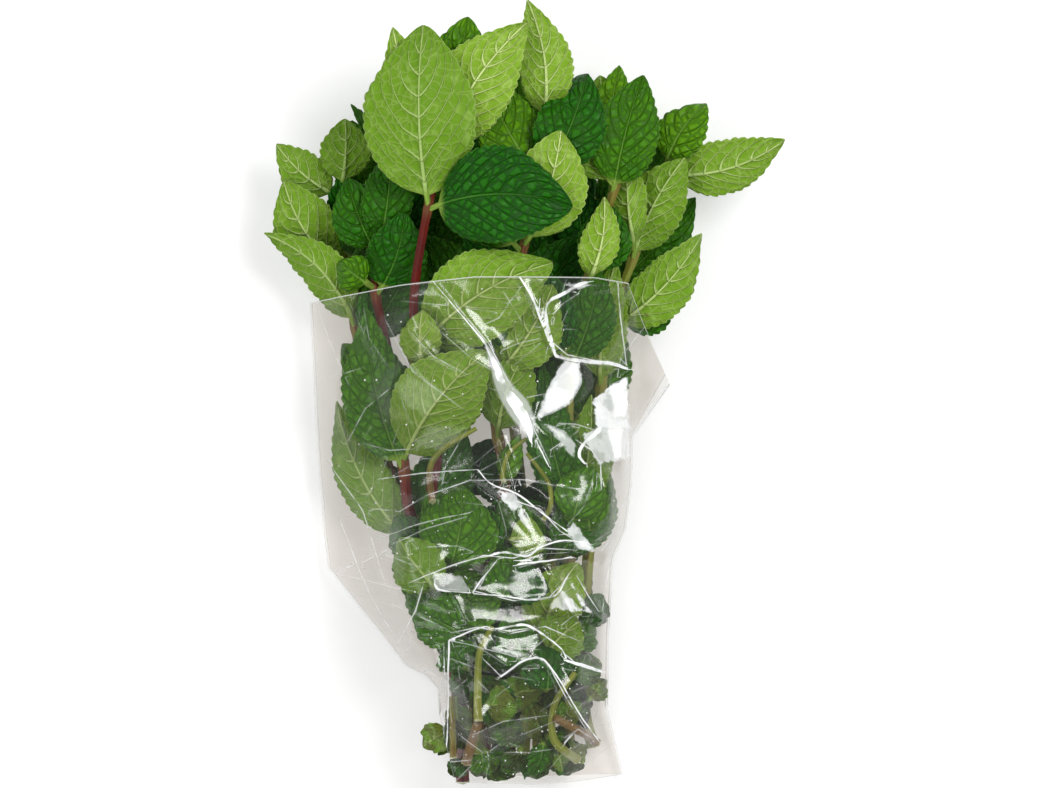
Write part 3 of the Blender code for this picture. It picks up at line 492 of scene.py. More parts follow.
def back_height(u, v):
    """How high the underside of the back panel is: flat on the table in the middle, curling up to its seams."""
    edge = np.clip((abs(2 * np.clip(u, 0, 1) - 1) - FLAT_SHARE) / (1 - FLAT_SHARE), 0, 1)
    return edge**2 * (SEAM_RISE[0] + v * (SEAM_RISE[1] - SEAM_RISE[0]))


print("the middle of the sleeve is at", sleeve_point([0.5], [0.5])[0].round(1))

# %% The pile
class Pile:
    """The top of what is laid, over each cell of the table, kept apart for each sprig."""

    def __init__(self, names):
        self.shape = (int(2 * HALF_X / CELL), int(2 * HALF_Y / CELL))
        self.tops = {name: np.zeros(self.shape) for name in names}
        self.tops["table"] = self.table()

    def table(self):
        """The table, with the sleeve's back panel on it."""
        top = np.full(self.shape, TABLE_GAP)
        u, v = (a.ravel() for a in np.meshgrid(np.linspace(-0.03, 1.03, 240), np.linspace(0, 1, 400)))
        np.maximum.at(top, self.cells(sleeve_point(u, v)), back_height(u, v) + FILM + FILM_ROOM)
        return top

    def cells(self, xy):
        at = np.floor((xy + (HALF_X, HALF_Y)) / CELL).astype(int)
        return tuple(np.clip(at, 0, np.array(self.shape) - 1).T)

    def reached(self, names):
        """The highest of the named tops within reach of each cell."""
        top = np.max([self.tops[name] for name in names], axis=0)
        for axis in (0, 1):
            top = np.max([np.roll(top, k, axis) for k in range(-REACH, REACH + 1)], axis=0)
        return top

    def top(self, names, xy):
        """The highest of the named tops within reach of each point."""
        return self.reached(names)[self.cells(xy)]

    def others(self, sprig):
        return [name for name in self.tops if name != sprig]

    def lay(self, name, points, above):
        np.maximum.at(self.tops[name], self.cells(points[:, :2]), points[:, 2] + above)


print("the pile has cells of", CELL, "mm")

# %% A stem's line
class Stem:
    def __init__(self, name, route, flush):
        self.sprig, self.flush = name, flush
        self.line = spline(route, STEM_SAMPLES)
        s = np.linspace(0, 1, STEM_SAMPLES)
        self.radius = STEM_RADIUS * (1 - (1 - STEM_TIP_SHARE) * s**1.5)

    def lay_on(self, pile):
        top = pile.top(pile.others(self.sprig), self.line[:, :2])
        need = top + self.radius + STEM_GAP - self.line[:, 2]
        weights = run_basis(np.linspace(0, 1, STEM_SAMPLES), STEM_CONTROLS)
        level = np.zeros(STEM_CONTROLS)
        lift = least_lift(weights, need, level > 0, level)
        self.line[:, 2] += weights @ bridged(lift, level > 0, STEM_BRIDGES)
        for dx in (-1, 0, 1):
            for dy in (-1, 0, 1):
                pile.lay(self.sprig, self.line + (dx * CELL, dy * CELL, 0), self.radius)

    def at_height(self, y):
        """The stem's own point at that y."""
        return np.array([np.interp(y, self.line[:, 1], self.line[:, k]) for k in range(3)])


print("a stem has", STEM_SAMPLES, "points")

# %% A leaf's form
def strip(first, second, s, turned):
    """Triangles between two lines of points that run the same way, each closed on whichever point comes next."""
    i, j, triangles = 0, 0, []
    while i < len(first) - 1 or j < len(second) - 1:
        a, b = first[i], second[j]
        step_first = j == len(second) - 1 or (i < len(first) - 1 and s[first[i + 1]] <= s[second[j + 1]])
        if step_first:
            i += 1
            c = first[i]
        else:
            j += 1
            c = second[j]
        if len({a, b, c}) == 3:
            triangles.append((a, b, c) if turned else (b, a, c))
    return triangles


class Leaf:
    def __init__(self, sprig, number, spec):
        self.sprig, self.number = sprig, number
        self.root_y, self.tip, self.rise, self.width, self.arch, *rest = spec
        self.bow, self.roll, self.side, self.order, self.tone = rest
        self.phase = GOLDEN * (self.number + len(SPRIGS) * self.width)
        self.lift = np.zeros(3 * LEAF_CONTROLS)

    def grow_from(self, stem):
        """Sets the leaf's own axes, from its root in the stem to its tip."""
        self.root = stem.at_height(self.root_y)
        self.chord = np.array([*self.tip, self.root[2] + self.rise]) - self.root
        self.length = float(np.linalg.norm(self.chord))
        self.bow_way = np.cross((0, 0, 1), self.chord)
        self.bow_way /= np.linalg.norm(self.bow_way)
        self.arch_way = np.cross(self.chord, self.bow_way) / self.length
        roll = math.radians(self.roll)
        self.across = math.cos(roll) * self.bow_way + math.sin(roll) * self.arch_way
        self.out = math.cos(roll) * self.arch_way - math.sin(roll) * self.bow_way
        self.petiole = min(PETIOLE_MOST, PETIOLE_LENGTH / self.length)

    def half_width(self, s):
        """Half the leaf's width at s, from its root at 0 to its tip at 1."""
        u = np.clip((s - self.petiole) / (1 - self.petiole), 0, 1)
        tip_power = np.clip(1.25 - self.width / self.length, *TIP_POWERS)
        widest = BASE_POWER / (BASE_POWER + tip_power)
        blade = (u / widest) ** BASE_POWER * ((1 - u) / (1 - widest)) ** tip_power * self.width / 2
        return np.maximum(blade, PETIOLE_HALF_WIDTH * (1 - u) ** 2)

    def form(self, s, t, spread):
        """The leaf's middle surface at s along it and t across it, its half width increased by the spread."""
        hump = (4 * s * (1 - s))[:, None]
        middle = self.root + s[:, None] * self.chord + hump * (self.arch * self.arch_way + self.bow * self.bow_way)
        half = (self.half_width(s) + spread) * t
        fold = math.radians(FOLD_DEG if self.side == UPPER else -FOLD_DEG)
        wave = np.sin(2 * math.pi * (RIPPLES * s + self.phase + RIPPLE_SHIFT * np.sign(t)))
        raised = abs(half) * math.sin(fold) + RIPPLE_SHARE * self.width * t**2 * 4 * s * (1 - s) * wave
        points = middle + (half * math.cos(fold))[:, None] * self.across + raised[:, None] * self.out
        points[:, 2] += leaf_basis(s, t) @ self.lift
        return points

    def layout(self):
        """The points of the leaf's mesh, as (s, t, spread), and the triangles of one face."""
        teeth = int(np.clip(round(self.length / TOOTH_PITCH), *TEETH))
        tooth = np.arange(1, 2 * teeth)
        sharp = tooth % 2 == 1
        u = (tooth + np.where(sharp, 2 * TOOTH_RISE - 1, 0)) / (2 * teeth)
        rim_s = np.concatenate([[0, self.petiole], self.petiole + (1 - self.petiole) * u])
        rim_spread = np.concatenate([[0, 0], np.where(sharp, TOOTH_DEPTH / 2, -TOOTH_DEPTH / 2)])
        rib_s = np.concatenate([[0], np.linspace(self.petiole, 1, MIDRIB_STEPS)])
        ribs, rims = len(rib_s), len(rim_s)
        s = np.concatenate([rib_s, rim_s, rim_s])
        t = np.concatenate([np.zeros(ribs), -np.ones(rims), np.ones(rims)])
        spread = np.concatenate([np.zeros(ribs), rim_spread, rim_spread])
        left, right = list(range(ribs, ribs + rims)), list(range(ribs + rims, ribs + 2 * rims))
        rib = list(range(ribs))
        tip = [ribs - 1]
        triangles = strip(rib, left + tip, s, True) + strip(rib, right + tip, s, False)
        return (s, t, spread), triangles

    def samples(self):
        """Samples of the mesh's triangles and of the smooth leaf they stand for, as points and weights."""
        (s, t, spread), triangles = self.layout()
        flat = triangle_samples(triangles, len(s), MESH_SAMPLES)
        fine_s, fine_t = (a.ravel() for a in np.meshgrid(np.linspace(0, 1, 61), np.linspace(-1, 1, 37)))
        points = np.vstack([flat @ self.form(s, t, spread), self.form(fine_s, fine_t, TOOTH_DEPTH / 2)])
        weights = np.vstack([flat @ leaf_basis(s, t), leaf_basis(fine_s, fine_t)])
        along = np.concatenate([flat @ s, fine_s])
        return points, weights, along

    def lay_on(self, pile):
        points, weights, along = self.samples()
        others = pile.top(pile.others(self.sprig), points[:, :2])
        own = pile.top([self.sprig], points[:, :2])
        away = np.linalg.norm(points[:, :2] - self.root[:2], axis=1)
        share = np.clip((away - ROOT_FREE) / ROOT_BLEND, 0, 1)
        half = np.where(along < self.petiole, PETIOLE_GAP, LEAF_GAP) / 2
        need = np.maximum(others + half - points[:, 2], share * (own + half - points[:, 2]))
        fixed = np.arange(len(self.lift)) < FIXED_CONTROLS
        lift = least_lift(weights, need, fixed, np.zeros(len(self.lift)))
        self.lift = bridged(lift.reshape(-1, 3), fixed.reshape(-1, 3), LEAF_BRIDGES).ravel()
        points[:, 2] += weights @ self.lift
        pile.lay(self.sprig, points, half)


print("a leaf has", 3 * LEAF_CONTROLS, "lifts")

# %% Laying the bunch
def lay_bunch():
    """Every stem and leaf, laid from the table up. Returns the stems, the leaves and the pile."""
    pile = Pile(SPRIGS)
    stems, leaves, queue = {}, [], []
    for rank, (name, (route, flush, specs)) in enumerate(SPRIGS.items()):
        stems[name] = Stem(name, route, flush)
        queue.append((SPRIG_RANK * rank, stems[name]))
        for number, spec in enumerate(specs + CRUSHED[name], 1):
            leaf = Leaf(name, number, spec)
            leaves.append(leaf)
            queue.append((SPRIG_RANK * rank + 1 + leaf.order, leaf))
    for _, piece in sorted(queue, key=lambda entry: entry[0]):
        if isinstance(piece, Leaf):
            piece.grow_from(stems[piece.sprig])
        piece.lay_on(pile)
    return stems, leaves, pile


stems, leaves, pile = lay_bunch()
print(len(stems), "stems and", len(leaves), "leaves are laid, the highest at",
      round(max(top.max() for top in pile.tops.values()), 1), "mm")

# %% [markdown]
# ## Writing node trees as sums
# A finish or a Geometry Nodes tree is a lot of small nodes, and a long list of links is hard to read. Here one
# class makes any node, and another wraps a socket so that plain arithmetic on it adds the Math nodes. The result
# is the same tree that could be drawn by hand in the editor, but it reads like the sum it works out.

# %% A wire and a tree
class Wire:
    """A socket that takes part in arithmetic. Each step adds a Math node to its tree."""

    def __init__(self, tree, socket):
        self.tree, self.socket = tree, socket

    def math(self, operation, *others):
        return self.tree.math(operation, self, *others)

    def __add__(self, other):
        return self.math("ADD", other)

    def __sub__(self, other):
        return self.math("SUBTRACT", other)

    def __mul__(self, other):
        return self.math("MULTIPLY", other)

    def __truediv__(self, other):
        return self.math("DIVIDE", other)

    def __pow__(self, other):
        return self.math("POWER", other)

    def __radd__(self, other):
        return self.math("ADD", other)

    def __rsub__(self, other):
        return self.tree.math("SUBTRACT", other, self)

    def __rmul__(self, other):
        return self.math("MULTIPLY", other)

    def __rtruediv__(self, other):
        return self.tree.math("DIVIDE", other, self)

    def __abs__(self):
        return self.math("ABSOLUTE")

    def step(self, low, high):
        """A smooth step from 0 where this is low to 1 where it is high."""
        settings = {"interpolation_type": "SMOOTHSTEP"}
        if isinstance(low, (int, float)) and isinstance(high, (int, float)) and low > high:
            return 1 - self.step(high, low)
        return self.tree.node("ShaderNodeMapRange", settings, {"Value": self, "From Min": low, "From Max": high})

    def from_whole(self):
        """How far this is from the nearest whole number."""
        return abs((self + 0.5).math("FRACT") - 0.5)


class Tree:
    """A node tree that is written in calls."""

    def __init__(self, tree):
        self.tree = tree

    def node(self, kind, settings=None, sockets=None, output=0):
        """Adds a node: its settings come first, then the values and links of its sockets."""
        made = self.tree.nodes.new(kind)
        for name, value in (settings or {}).items():
            setattr(made, name, value)
        for name, value in (sockets or {}).items():
            self.join(value, made.inputs[name])
        return Wire(self, made.outputs[output])

    def join(self, value, socket):
        if isinstance(value, Wire):
            self.tree.links.new(value.socket, socket)
        elif socket.type == "RGBA" and len(value) == 3:
            socket.default_value = (*value, 1)
        else:
            socket.default_value = value

    def math(self, operation, *values):
        return self.node("ShaderNodeMath", {"operation": operation}, dict(enumerate(values)))


print("a tree can now be written as a sum")

# %% A finish
class Finish(Tree):
    """A material with its Principled shader, a few ways to mix, and its coordinates in millimetres."""

    def __init__(self, name, **constants):
        self.material = bpy.data.materials.new(name)
        self.material.use_nodes = True
        super().__init__(self.material.node_tree)
        self.shader = self.tree.nodes["Principled BSDF"]
        for socket, value in constants.items():
            self.shader.inputs[socket.replace("_", " ")].default_value = value

    def blend(self, share, first, second):
        """A colour between two."""
        return self.node("ShaderNodeMix", {"data_type": "RGBA"}, {0: share, 6: first, 7: second}, 2)

    def place(self):
        """Where a point of the surface lies, in millimetres."""
        where = self.node("ShaderNodeTexCoord", output="Object")
        return self.node("ShaderNodeVectorMath", {"operation": "SCALE"}, {0: where, "Scale": 1 / MM})

    def stored(self, name):
        """The three numbers of an attribute that the mesh carries."""
        held = self.node("ShaderNodeAttribute", {"attribute_name": name}, output="Vector")
        return [self.node("ShaderNodeSeparateXYZ", None, {0: held}, k) for k in range(3)]

    def noise(self, place, size, detail=2.0):
        """Soft noise around 0.5, in lumps of about that size."""
        return self.node("ShaderNodeTexNoise", None, {"Vector": place, "Scale": 1 / size, "Detail": detail})

    def cells(self, place, size):
        """Distance within cells of about that size: 0 on the walls between them."""
        settings = {"feature": "DISTANCE_TO_EDGE"}
        return self.node("ShaderNodeTexVoronoi", settings, {"Vector": place, "Scale": 1 / size})

    def relief(self, height):
        """Turns a height in millimetres into a bump on the surface."""
        bump = self.node("ShaderNodeBump", None, {"Strength": 1.0, "Distance": MM, "Height": height})
        self.join(bump, self.shader.inputs["Normal"])

    def colour(self, value):
        self.join(value, self.shader.inputs["Base Color"])

    def roughness(self, value):
        self.join(value, self.shader.inputs["Roughness"])


print("a finish reads its places in millimetres")

# %% Meshes and growths
def placed(name, data):
    """A new object in the scene, for a mesh, a lamp or a camera."""
    made = bpy.data.objects.new(name, data)
    bpy.context.scene.collection.objects.link(made)
    return made


def keep_on(mesh, key, values):
    """Keeps a number, or three, for each point of a mesh, for its finish or its growth to read."""
    kind, field = ("FLOAT", "value") if values.ndim == 1 else ("FLOAT_VECTOR", "vector")
    mesh.attributes.new(key, kind, "POINT").data.foreach_set(field, values.astype(float).ravel())


def smooth_mesh(name, points, faces, finishes, slots=None, **stored):
    """A mesh object from points in millimetres, with its finishes and the numbers that they read."""
    mesh = bpy.data.meshes.new(name)
    mesh.from_pydata((points * MM).tolist(), [], faces.tolist())
    for finish in finishes:
        mesh.materials.append(finish)
    if slots is not None:
        mesh.polygons.foreach_set("material_index", slots)
    mesh.polygons.foreach_set("use_smooth", np.ones(len(faces), bool))
    for key, values in stored.items():
        keep_on(mesh, key, values)
    mesh.update()
    return placed(name, mesh)


class Growth(Tree):
    """A Geometry Nodes tree with named inputs. It ends in Realize Instances and Set Material."""

    def __init__(self, name, **inputs):
        super().__init__(bpy.data.node_groups.new(name, "GeometryNodeTree"))
        face = self.tree.interface
        face.new_socket("Geometry", in_out="INPUT", socket_type="NodeSocketGeometry")
        for key, kind in inputs.items():
            face.new_socket(key, in_out="INPUT", socket_type="NodeSocket" + kind)
        face.new_socket("Geometry", in_out="OUTPUT", socket_type="NodeSocketGeometry")
        entry = self.tree.nodes.new("NodeGroupInput")
        self.given = {socket.name: Wire(self, socket) for socket in entry.outputs if socket.name}

    def end(self, geometry):
        real = self.node("GeometryNodeRealizeInstances", None, {"Geometry": geometry})
        dressed = self.node("GeometryNodeSetMaterial", None, {"Geometry": real, "Material": self.given["Finish"]})
        self.join(dressed, self.tree.nodes.new("NodeGroupOutput").inputs[0])

    def grow(self, name, guide, **values):
        """Runs the tree on a guide and returns the plain mesh that it makes."""
        growing = guide.modifiers.new("Growth", "NODES")
        growing.node_group = self.tree
        sockets = {item.name: item.identifier for item in self.tree.interface.items_tree if item.in_out == "INPUT"}
        for key, value in values.items():
            growing[sockets[key]] = value
        held = guide.evaluated_get(bpy.context.evaluated_depsgraph_get())
        grown = bpy.data.meshes.new_from_object(held)
        guide.modifiers.clear()
        bpy.data.objects.remove(guide)
        return placed(name, grown)


print("a growth turns a guide line or a surface into a plain mesh")

# %% [markdown]
# ## The leaf finishes
# The upper side of a mint leaf is deep green and satin, and its veins are sunk in grooves that part it into small
# cushions; the grooves are painted darker, as painted shade. The underside is paler and duller, and there the veins
# stand out, light yellow-green, with painted shade in the hollows between them. On both sides the margin is painted
# paler, as a painted highlight. Colour and relief follow the veins, so the mesh carries how far along the row of
# veins each point is, and the finish reads that.
# A picture of a leaf would be the other way, but a rule gives every leaf its own veins, at any distance.

# %% What the veins are at a point
MIDRIB_HALF = 0.16  # at the tip
MIDRIB_GROWTH = 0.4  # how much wider it is at the base
SIDE_VEIN_HALF = 0.3
MESH_SIZE = 2.9
MESH_VEIN_HALF = 0.11
NET_SIZE = 0.95
NET_BEND = 2  # how far the meshes are pulled out of shape
WOBBLE, WOBBLE_SIZE = 0.18, 5.0  # how much a side vein strays, and over what length
CUSHION_REACH = 0.8  # how far from a vein a cushion is full
BRUISING, BRUISE_SIZE, BRUISED = 0.42, 5.0, 0.8  # what wear adds to bruises, their size and their strength
SPECK_SIZE, SPECKED = 2.2, 0.5


def vein_lines(finish, breadth):
    """What a leaf's finish reads at a point: its veins, the cushions between them, and the leaf's own looks."""
    phase, spacing, worn = finish.stored("leaf_veins")
    x, y, along = finish.stored("leaf_spot")
    tone, seed, rim = finish.stored("leaf_look")
    wobble = finish.noise(finish.place(), WOBBLE_SIZE) - 0.5
    rib_half = (MIDRIB_HALF + MIDRIB_GROWTH * (1 - along) ** 1.5) * breadth
    midrib = abs(x).step(rib_half * 1.3, rib_half * 0.6)
    off_side = (phase + WOBBLE * wobble).from_whole() * spacing
    side_half = SIDE_VEIN_HALF * breadth * (1.1 - 0.7 * rim)
    side = off_side.step(side_half * 1.7, side_half * 0.5) * rim.step(1.0, 0.85)
    spot = {0: x + NET_BEND * wobble, 1: y - NET_BEND * wobble, 2: seed * 40}
    bent = finish.node("ShaderNodeCombineXYZ", None, spot)
    off_mesh = finish.cells(bent, MESH_SIZE) * MESH_SIZE
    mesh = off_mesh.step(MESH_VEIN_HALF * breadth * 2.2, MESH_VEIN_HALF * 0.3)
    net = finish.cells(bent, NET_SIZE).step(0.14, 0.02)
    near = off_mesh.math("MINIMUM", off_side).math("MINIMUM", abs(x) - rib_half)
    cushion = near.step(0, CUSHION_REACH)
    bruised = (BRUISING * worn + finish.noise(finish.place(), BRUISE_SIZE, 4.0) - 0.5).step(0.3, 0.46) * BRUISED
    specks = finish.noise(finish.place(), SPECK_SIZE, 2.0).step(0.72, 0.76) * SPECKED
    bruised = bruised.math("MAXIMUM", specks)
    return {"midrib": midrib, "side": side, "mesh": mesh, "net": net, "cushion": cushion, "tone": tone,
            "rim": rim, "along": along, "bruised": bruised}


print("a midrib is", 2 * (MIDRIB_HALF + MIDRIB_GROWTH), "mm wide at its base")

# %% The upper side
UPPER_DARK, UPPER_BRIGHT = (0.012, 0.118, 0.002), (0.14, 0.34, 0.004)
# painted shade: the darker greens that fill the grooves between the cushions
GROOVE_SHADE_DARK, GROOVE_SHADE_BRIGHT = (0.004, 0.042, 0.001), (0.06, 0.18, 0.003)
RIB_DARK, RIB_BRIGHT = (0.06, 0.22, 0.02), (0.27, 0.45, 0.07)
STALK_GREEN = (0.25, 0.40, 0.06)
GROOVE_SHADING, RIM_HIGHLIGHT = 0.75, 0.45  # how strongly the painted shade of the grooves and the painted highlight of the margin show
BRUISED_UPPER, BRUISED_UNDER = (0.035, 0.045, 0.006), (0.11, 0.125, 0.02)


def leaf_upper():
    finish = Finish("mint_upper", Specular_IOR_Level=0.13)
    read = vein_lines(finish, 0.8)
    tone, along, rim = read["tone"], read["along"], read["rim"]
    patches = finish.noise(finish.place(), 8.0, 3.0) - 0.5
    shade = tone + 0.35 * patches
    blade = finish.blend(shade.step(0, 1), UPPER_DARK, UPPER_BRIGHT)
    # painted shade: the grooves round the cushions are darkened
    groove_shade = finish.blend(tone, GROOVE_SHADE_DARK, GROOVE_SHADE_BRIGHT)
    quilted = finish.blend(read["cushion"].step(0.6, 0) * GROOVE_SHADING, blade, groove_shade)
    rib = finish.blend(tone, RIB_DARK, RIB_BRIGHT)
    ribbed = finish.blend(read["midrib"] * (0.8 - 0.6 * along) + read["side"] * 0.06, quilted, rib)
    # painted highlight: the margin is painted paler, in the rib's colour
    edged = finish.blend(rim.step(0.955, 1.0) * RIM_HIGHLIGHT, ribbed, rib)
    aged = finish.blend(read["bruised"], edged, BRUISED_UPPER)
    finish.colour(finish.blend(along.step(0.06, 0.0), aged, STALK_GREEN))
    finish.roughness(0.33 + 0.2 * patches + 0.1 * (1 - read["cushion"]))
    height = read["cushion"] * 0.45 - read["side"] * 0.3 - read["midrib"] * 0.15 - read["net"] * 0.03
    finish.relief(height + 0.05 * finish.noise(finish.place(), 0.6))
    return finish.material


upper_finish = leaf_upper()
print(upper_finish.name, "has", len(upper_finish.node_tree.nodes), "nodes")

# %% The underside
UNDER_DULL, UNDER_PALE = (0.07, 0.185, 0.006), (0.215, 0.385, 0.022)
# painted shade: the darker green of the hollows between the raised veins
POCKET_SHADE = (0.09, 0.235, 0.007)
VEIN_DULL, VEIN_PALE = (0.20, 0.36, 0.07), (0.56, 0.70, 0.25)


def leaf_under():
    finish = Finish("mint_underside", Specular_IOR_Level=0.07)
    read = vein_lines(finish, 1.0)
    tone, along, rim = read["tone"], read["along"], read["rim"]
    patches = finish.noise(finish.place(), 7.0, 3.0) - 0.5
    blade = finish.blend((tone + 0.3 * patches).step(-0.1, 1.1), UNDER_DULL, UNDER_PALE)
    vein = finish.blend(tone, VEIN_DULL, VEIN_PALE)
    # painted shade: the middle of each hollow between the veins is darkened
    shaded = finish.blend(read["cushion"] * 0.22, blade, POCKET_SHADE)
    netted = finish.blend(read["net"] * 0.05 + read["mesh"] * 0.2 + (1 - read["cushion"]) * 0.07, shaded, vein)
    ribbed = finish.blend(read["side"] * (0.95 - 0.4 * rim), netted, vein)
    ribbed = finish.blend(read["midrib"], ribbed, vein)
    # painted highlight: the margin is painted paler, in the veins' colour
    edged = finish.blend(rim.step(0.96, 1.0) * 0.5, ribbed, vein)
    aged = finish.blend(read["bruised"], edged, BRUISED_UNDER)
    finish.colour(finish.blend(along.step(0.06, 0.0), aged, STALK_GREEN))
    finish.roughness(0.55 + 0.2 * patches)
    height = read["midrib"] * 0.4 + read["side"] * 0.35 + read["mesh"] * 0.10 - read["cushion"] * 0.2
    finish.relief(height + 0.04 * finish.noise(finish.place(), 0.5))
    return finish.material


under_finish = leaf_under()
print(under_finish.name, "has", len(under_finish.node_tree.nodes), "nodes")

# %% [markdown]
# ## A leaf as a closed sheet
# A leaf is under a millimetre thick, but it isn't flat: between the side veins the blade swells towards its upper
# side, and the margin is toothed and a little wavy. It could be a flat card with a relief in its finish, but that
# looks flat from the side and at its rim. So each leaf is a fine grid on the same form as its solid, swollen
# between its veins, with the teeth in its outline, and given two faces and a rim.

# %% Teeth and veins
TOOTH_ROWS = (0, 0.24, 0.48, 0.72, 0.86)
FINE_TOOTH = 2.9
FINE_TEETH = (5, 16)
FINE_TOOTH_SHARE = (0.04, 0.6)  # a tooth's depth as a share of the width, and the most in millimetres
VEIN_STEP = 5.5
CROSS_VEIN_STEP = 2.8
VEIN_COUNT = (4, 8)
VEIN_SWEEP, VEIN_BEND = 0.8, 1.25  # how far forward a side vein runs, and how much it bends
VEIN_STAGGER, FIRST_VEIN = 0.35, 0.3  # the right side's veins after the left's, and where the first one starts
CROSS_SHARE = 0.4  # the share of the swelling that follows the small veins across
COLUMN_STEP = 0.8
HALF_COLUMNS = (5, 16)
TIP_NARROWING, NARROWS_FROM = 0.3, 0.6  # how much finer a tip is than its solid's, and where that starts
STALK_HALF = 0.25  # half the width of the narrowest stalk


def tooth_edge(u, teeth):
    """How far the margin stands out at u along the blade: each tooth rises slowly and falls fast."""
    f = (u * teeth) % 1
    edge = np.where(f < TOOTH_RISE, np.sin(math.pi / 2 * f / TOOTH_RISE), (1 - f) / (1 - TOOTH_RISE))
    return (edge - 0.5) * np.clip(6 * u, 0, 1) * np.clip(5 * (1 - u), 0, 1)


def near_whole(p):
    """0 on a vein, 1 halfway between two, with a round top."""
    return 1 - abs(2 * (p % 1) - 1) ** 3


print("the margin at the top of a tooth stands out", tooth_edge(np.array([0.5 + TOOTH_RISE / 10]), 10)[0])

# %% One leaf's sheet
BULGE_SHARE, BULGE_BASE, BULGE_MOST = 0.016, 0.06, 0.42
SPACING_SHARE = 0.8  # how far apart slanting veins are, as a share of their step along the leaf
RUFFLE, RUFFLES = 0.22, 4.3  # the waves of the margin: their height, and how many there are
HALF_BLADE, RIM_THINNING = 0.2, 0.4  # half a blade's thickness, and how much thinner its rim is
WORN_FROM, WORN_OVER = -45, 55  # below this y the leaves are squeezed, and over this way ever more
CRUMPLE, CRUMPLE_SIZE = 0.7, 8.5
RIB_HEIGHT, RIB_GROWTH = 0.1, 0.3
STALK_SWELL = 0.45


def leaf_grid(leaf):
    """Where the rows and columns of a leaf's grid lie: u along the blade, s along the leaf, t across it."""
    teeth = int(np.clip(round(leaf.length / FINE_TOOTH), *FINE_TEETH))
    stalk = np.linspace(0, leaf.petiole, 5)[:-1]
    blade = [(k + row) / teeth for k in range(teeth) for row in TOOTH_ROWS] + [1]
    s = np.concatenate([stalk, leaf.petiole + (1 - leaf.petiole) * np.array(blade)])
    half = int(np.clip(round(leaf.width / 2 / COLUMN_STEP), *HALF_COLUMNS))
    x = np.linspace(-1, 1, 2 * half + 1)
    s, t = np.meshgrid(s, np.sign(x) * abs(x) ** 1.2, indexing="ij")
    u = np.clip((s - leaf.petiole) / (1 - leaf.petiole), 0, 1)
    return u, s, t, teeth


def leaf_sheet(leaf):
    """The points of a leaf's two faces, its quads with the side each belongs to, and what its finish reads."""
    u, s, t, teeth = leaf_grid(leaf)
    shape = u.shape
    plain_half = leaf.half_width(s.ravel()).reshape(shape)
    half_width = plain_half * (1 - TIP_NARROWING * np.clip((u - NARROWS_FROM) / (1 - NARROWS_FROM), 0, 1))
    depth = min(FINE_TOOTH_SHARE[0] * leaf.width, FINE_TOOTH_SHARE[1])
    half_width = np.maximum(half_width, STALK_HALF) + depth * tooth_edge(u, teeth) * abs(t) ** 6
    spread = half_width - plain_half
    middle = leaf.form(s.ravel(), t.ravel(), spread.ravel()).reshape(*shape, 3)
    x, y = half_width * t, u * leaf.length * (1 - leaf.petiole)
    veins = int(np.clip(round(leaf.length / VEIN_STEP), *VEIN_COUNT))
    sweep = VEIN_SWEEP * leaf.width / leaf.length
    stagger = VEIN_STAGGER * np.minimum(abs(t) / 0.3, 1) * (t > 0)
    phase = veins * (u - sweep * abs(t) ** VEIN_BEND) + stagger + FIRST_VEIN
    crossing = (0.6 * abs(x) + 0.8 * y) / CROSS_VEIN_STEP + 0.37 * np.floor(phase)
    swell = near_whole(phase) * (1 - CROSS_SHARE + CROSS_SHARE * near_whole(crossing))
    swell *= np.clip((1 - abs(t)) / 0.15, 0, 1) * np.clip(abs(x) / 1.2, 0, 1)
    swell *= np.clip(u / 0.08, 0, 1) * np.clip((1 - u) / 0.1, 0, 1)
    upward = 1 if leaf.side == UPPER else -1
    swell *= upward * min(BULGE_MOST, BULGE_SHARE * leaf.width + BULGE_BASE)
    ruffle = RUFFLE * abs(t) ** 3 * np.sin(2 * math.pi * (RUFFLES * u + leaf.phase)) * np.clip(4 * u, 0, 1)
    worn = np.clip((WORN_FROM - middle[..., 1]) / WORN_OVER, 0, 1)
    turn = 2 * math.pi / CRUMPLE_SIZE
    crumple = np.sin(turn * (x + 0.6 * y) + 9 * leaf.phase) * np.sin(turn * (0.8 * y - x) + 5 * leaf.phase)
    crumple *= CRUMPLE * worn * np.clip(3 * u, 0, 1)
    middle += normals_of(middle) * (swell + ruffle + crumple)[..., None]
    way = normals_of(middle)
    body = HALF_BLADE * (1 - RIM_THINNING * t**4) + STALK_SWELL * np.sqrt(1 - t**2) * np.clip(1 - u / 0.1, 0, 1)
    rib = (RIB_HEIGHT + RIB_GROWTH * (1 - u) ** 1.2) * np.exp(-(x / (0.85 - 0.4 * u)) ** 2)
    rib *= np.clip(20 * (1 - u), 0, 1)
    top, low = (body, body + rib) if leaf.side == UPPER else (body + rib, body)
    points = np.concatenate([middle + way * top[..., None], middle - way * low[..., None]]).reshape(-1, 3)
    quads, faces_up = sheet_quads(*shape)
    sides = np.where(faces_up, leaf.side == UNDER, leaf.side == UPPER)
    seed = np.full(shape, (leaf.phase * 7.3) % 1)
    spacing = np.full(shape, SPACING_SHARE * leaf.length / veins)
    reads = {
        "leaf_veins": np.stack([phase, spacing, worn], axis=-1),
        "leaf_spot": np.stack([x, y, u], axis=-1),
        "leaf_look": np.stack([np.full(shape, leaf.tone), seed, abs(t)], axis=-1),
    }
    return points, quads, sides, {key: np.concatenate([v, v]).reshape(-1, 3) for key, v in reads.items()}


def normals_of(grid):
    """The way each point of a grid of points faces."""
    way = np.cross(np.gradient(grid, axis=0), np.gradient(grid, axis=1))
    return way / np.maximum(np.linalg.norm(way, axis=-1, keepdims=True), 1e-9)


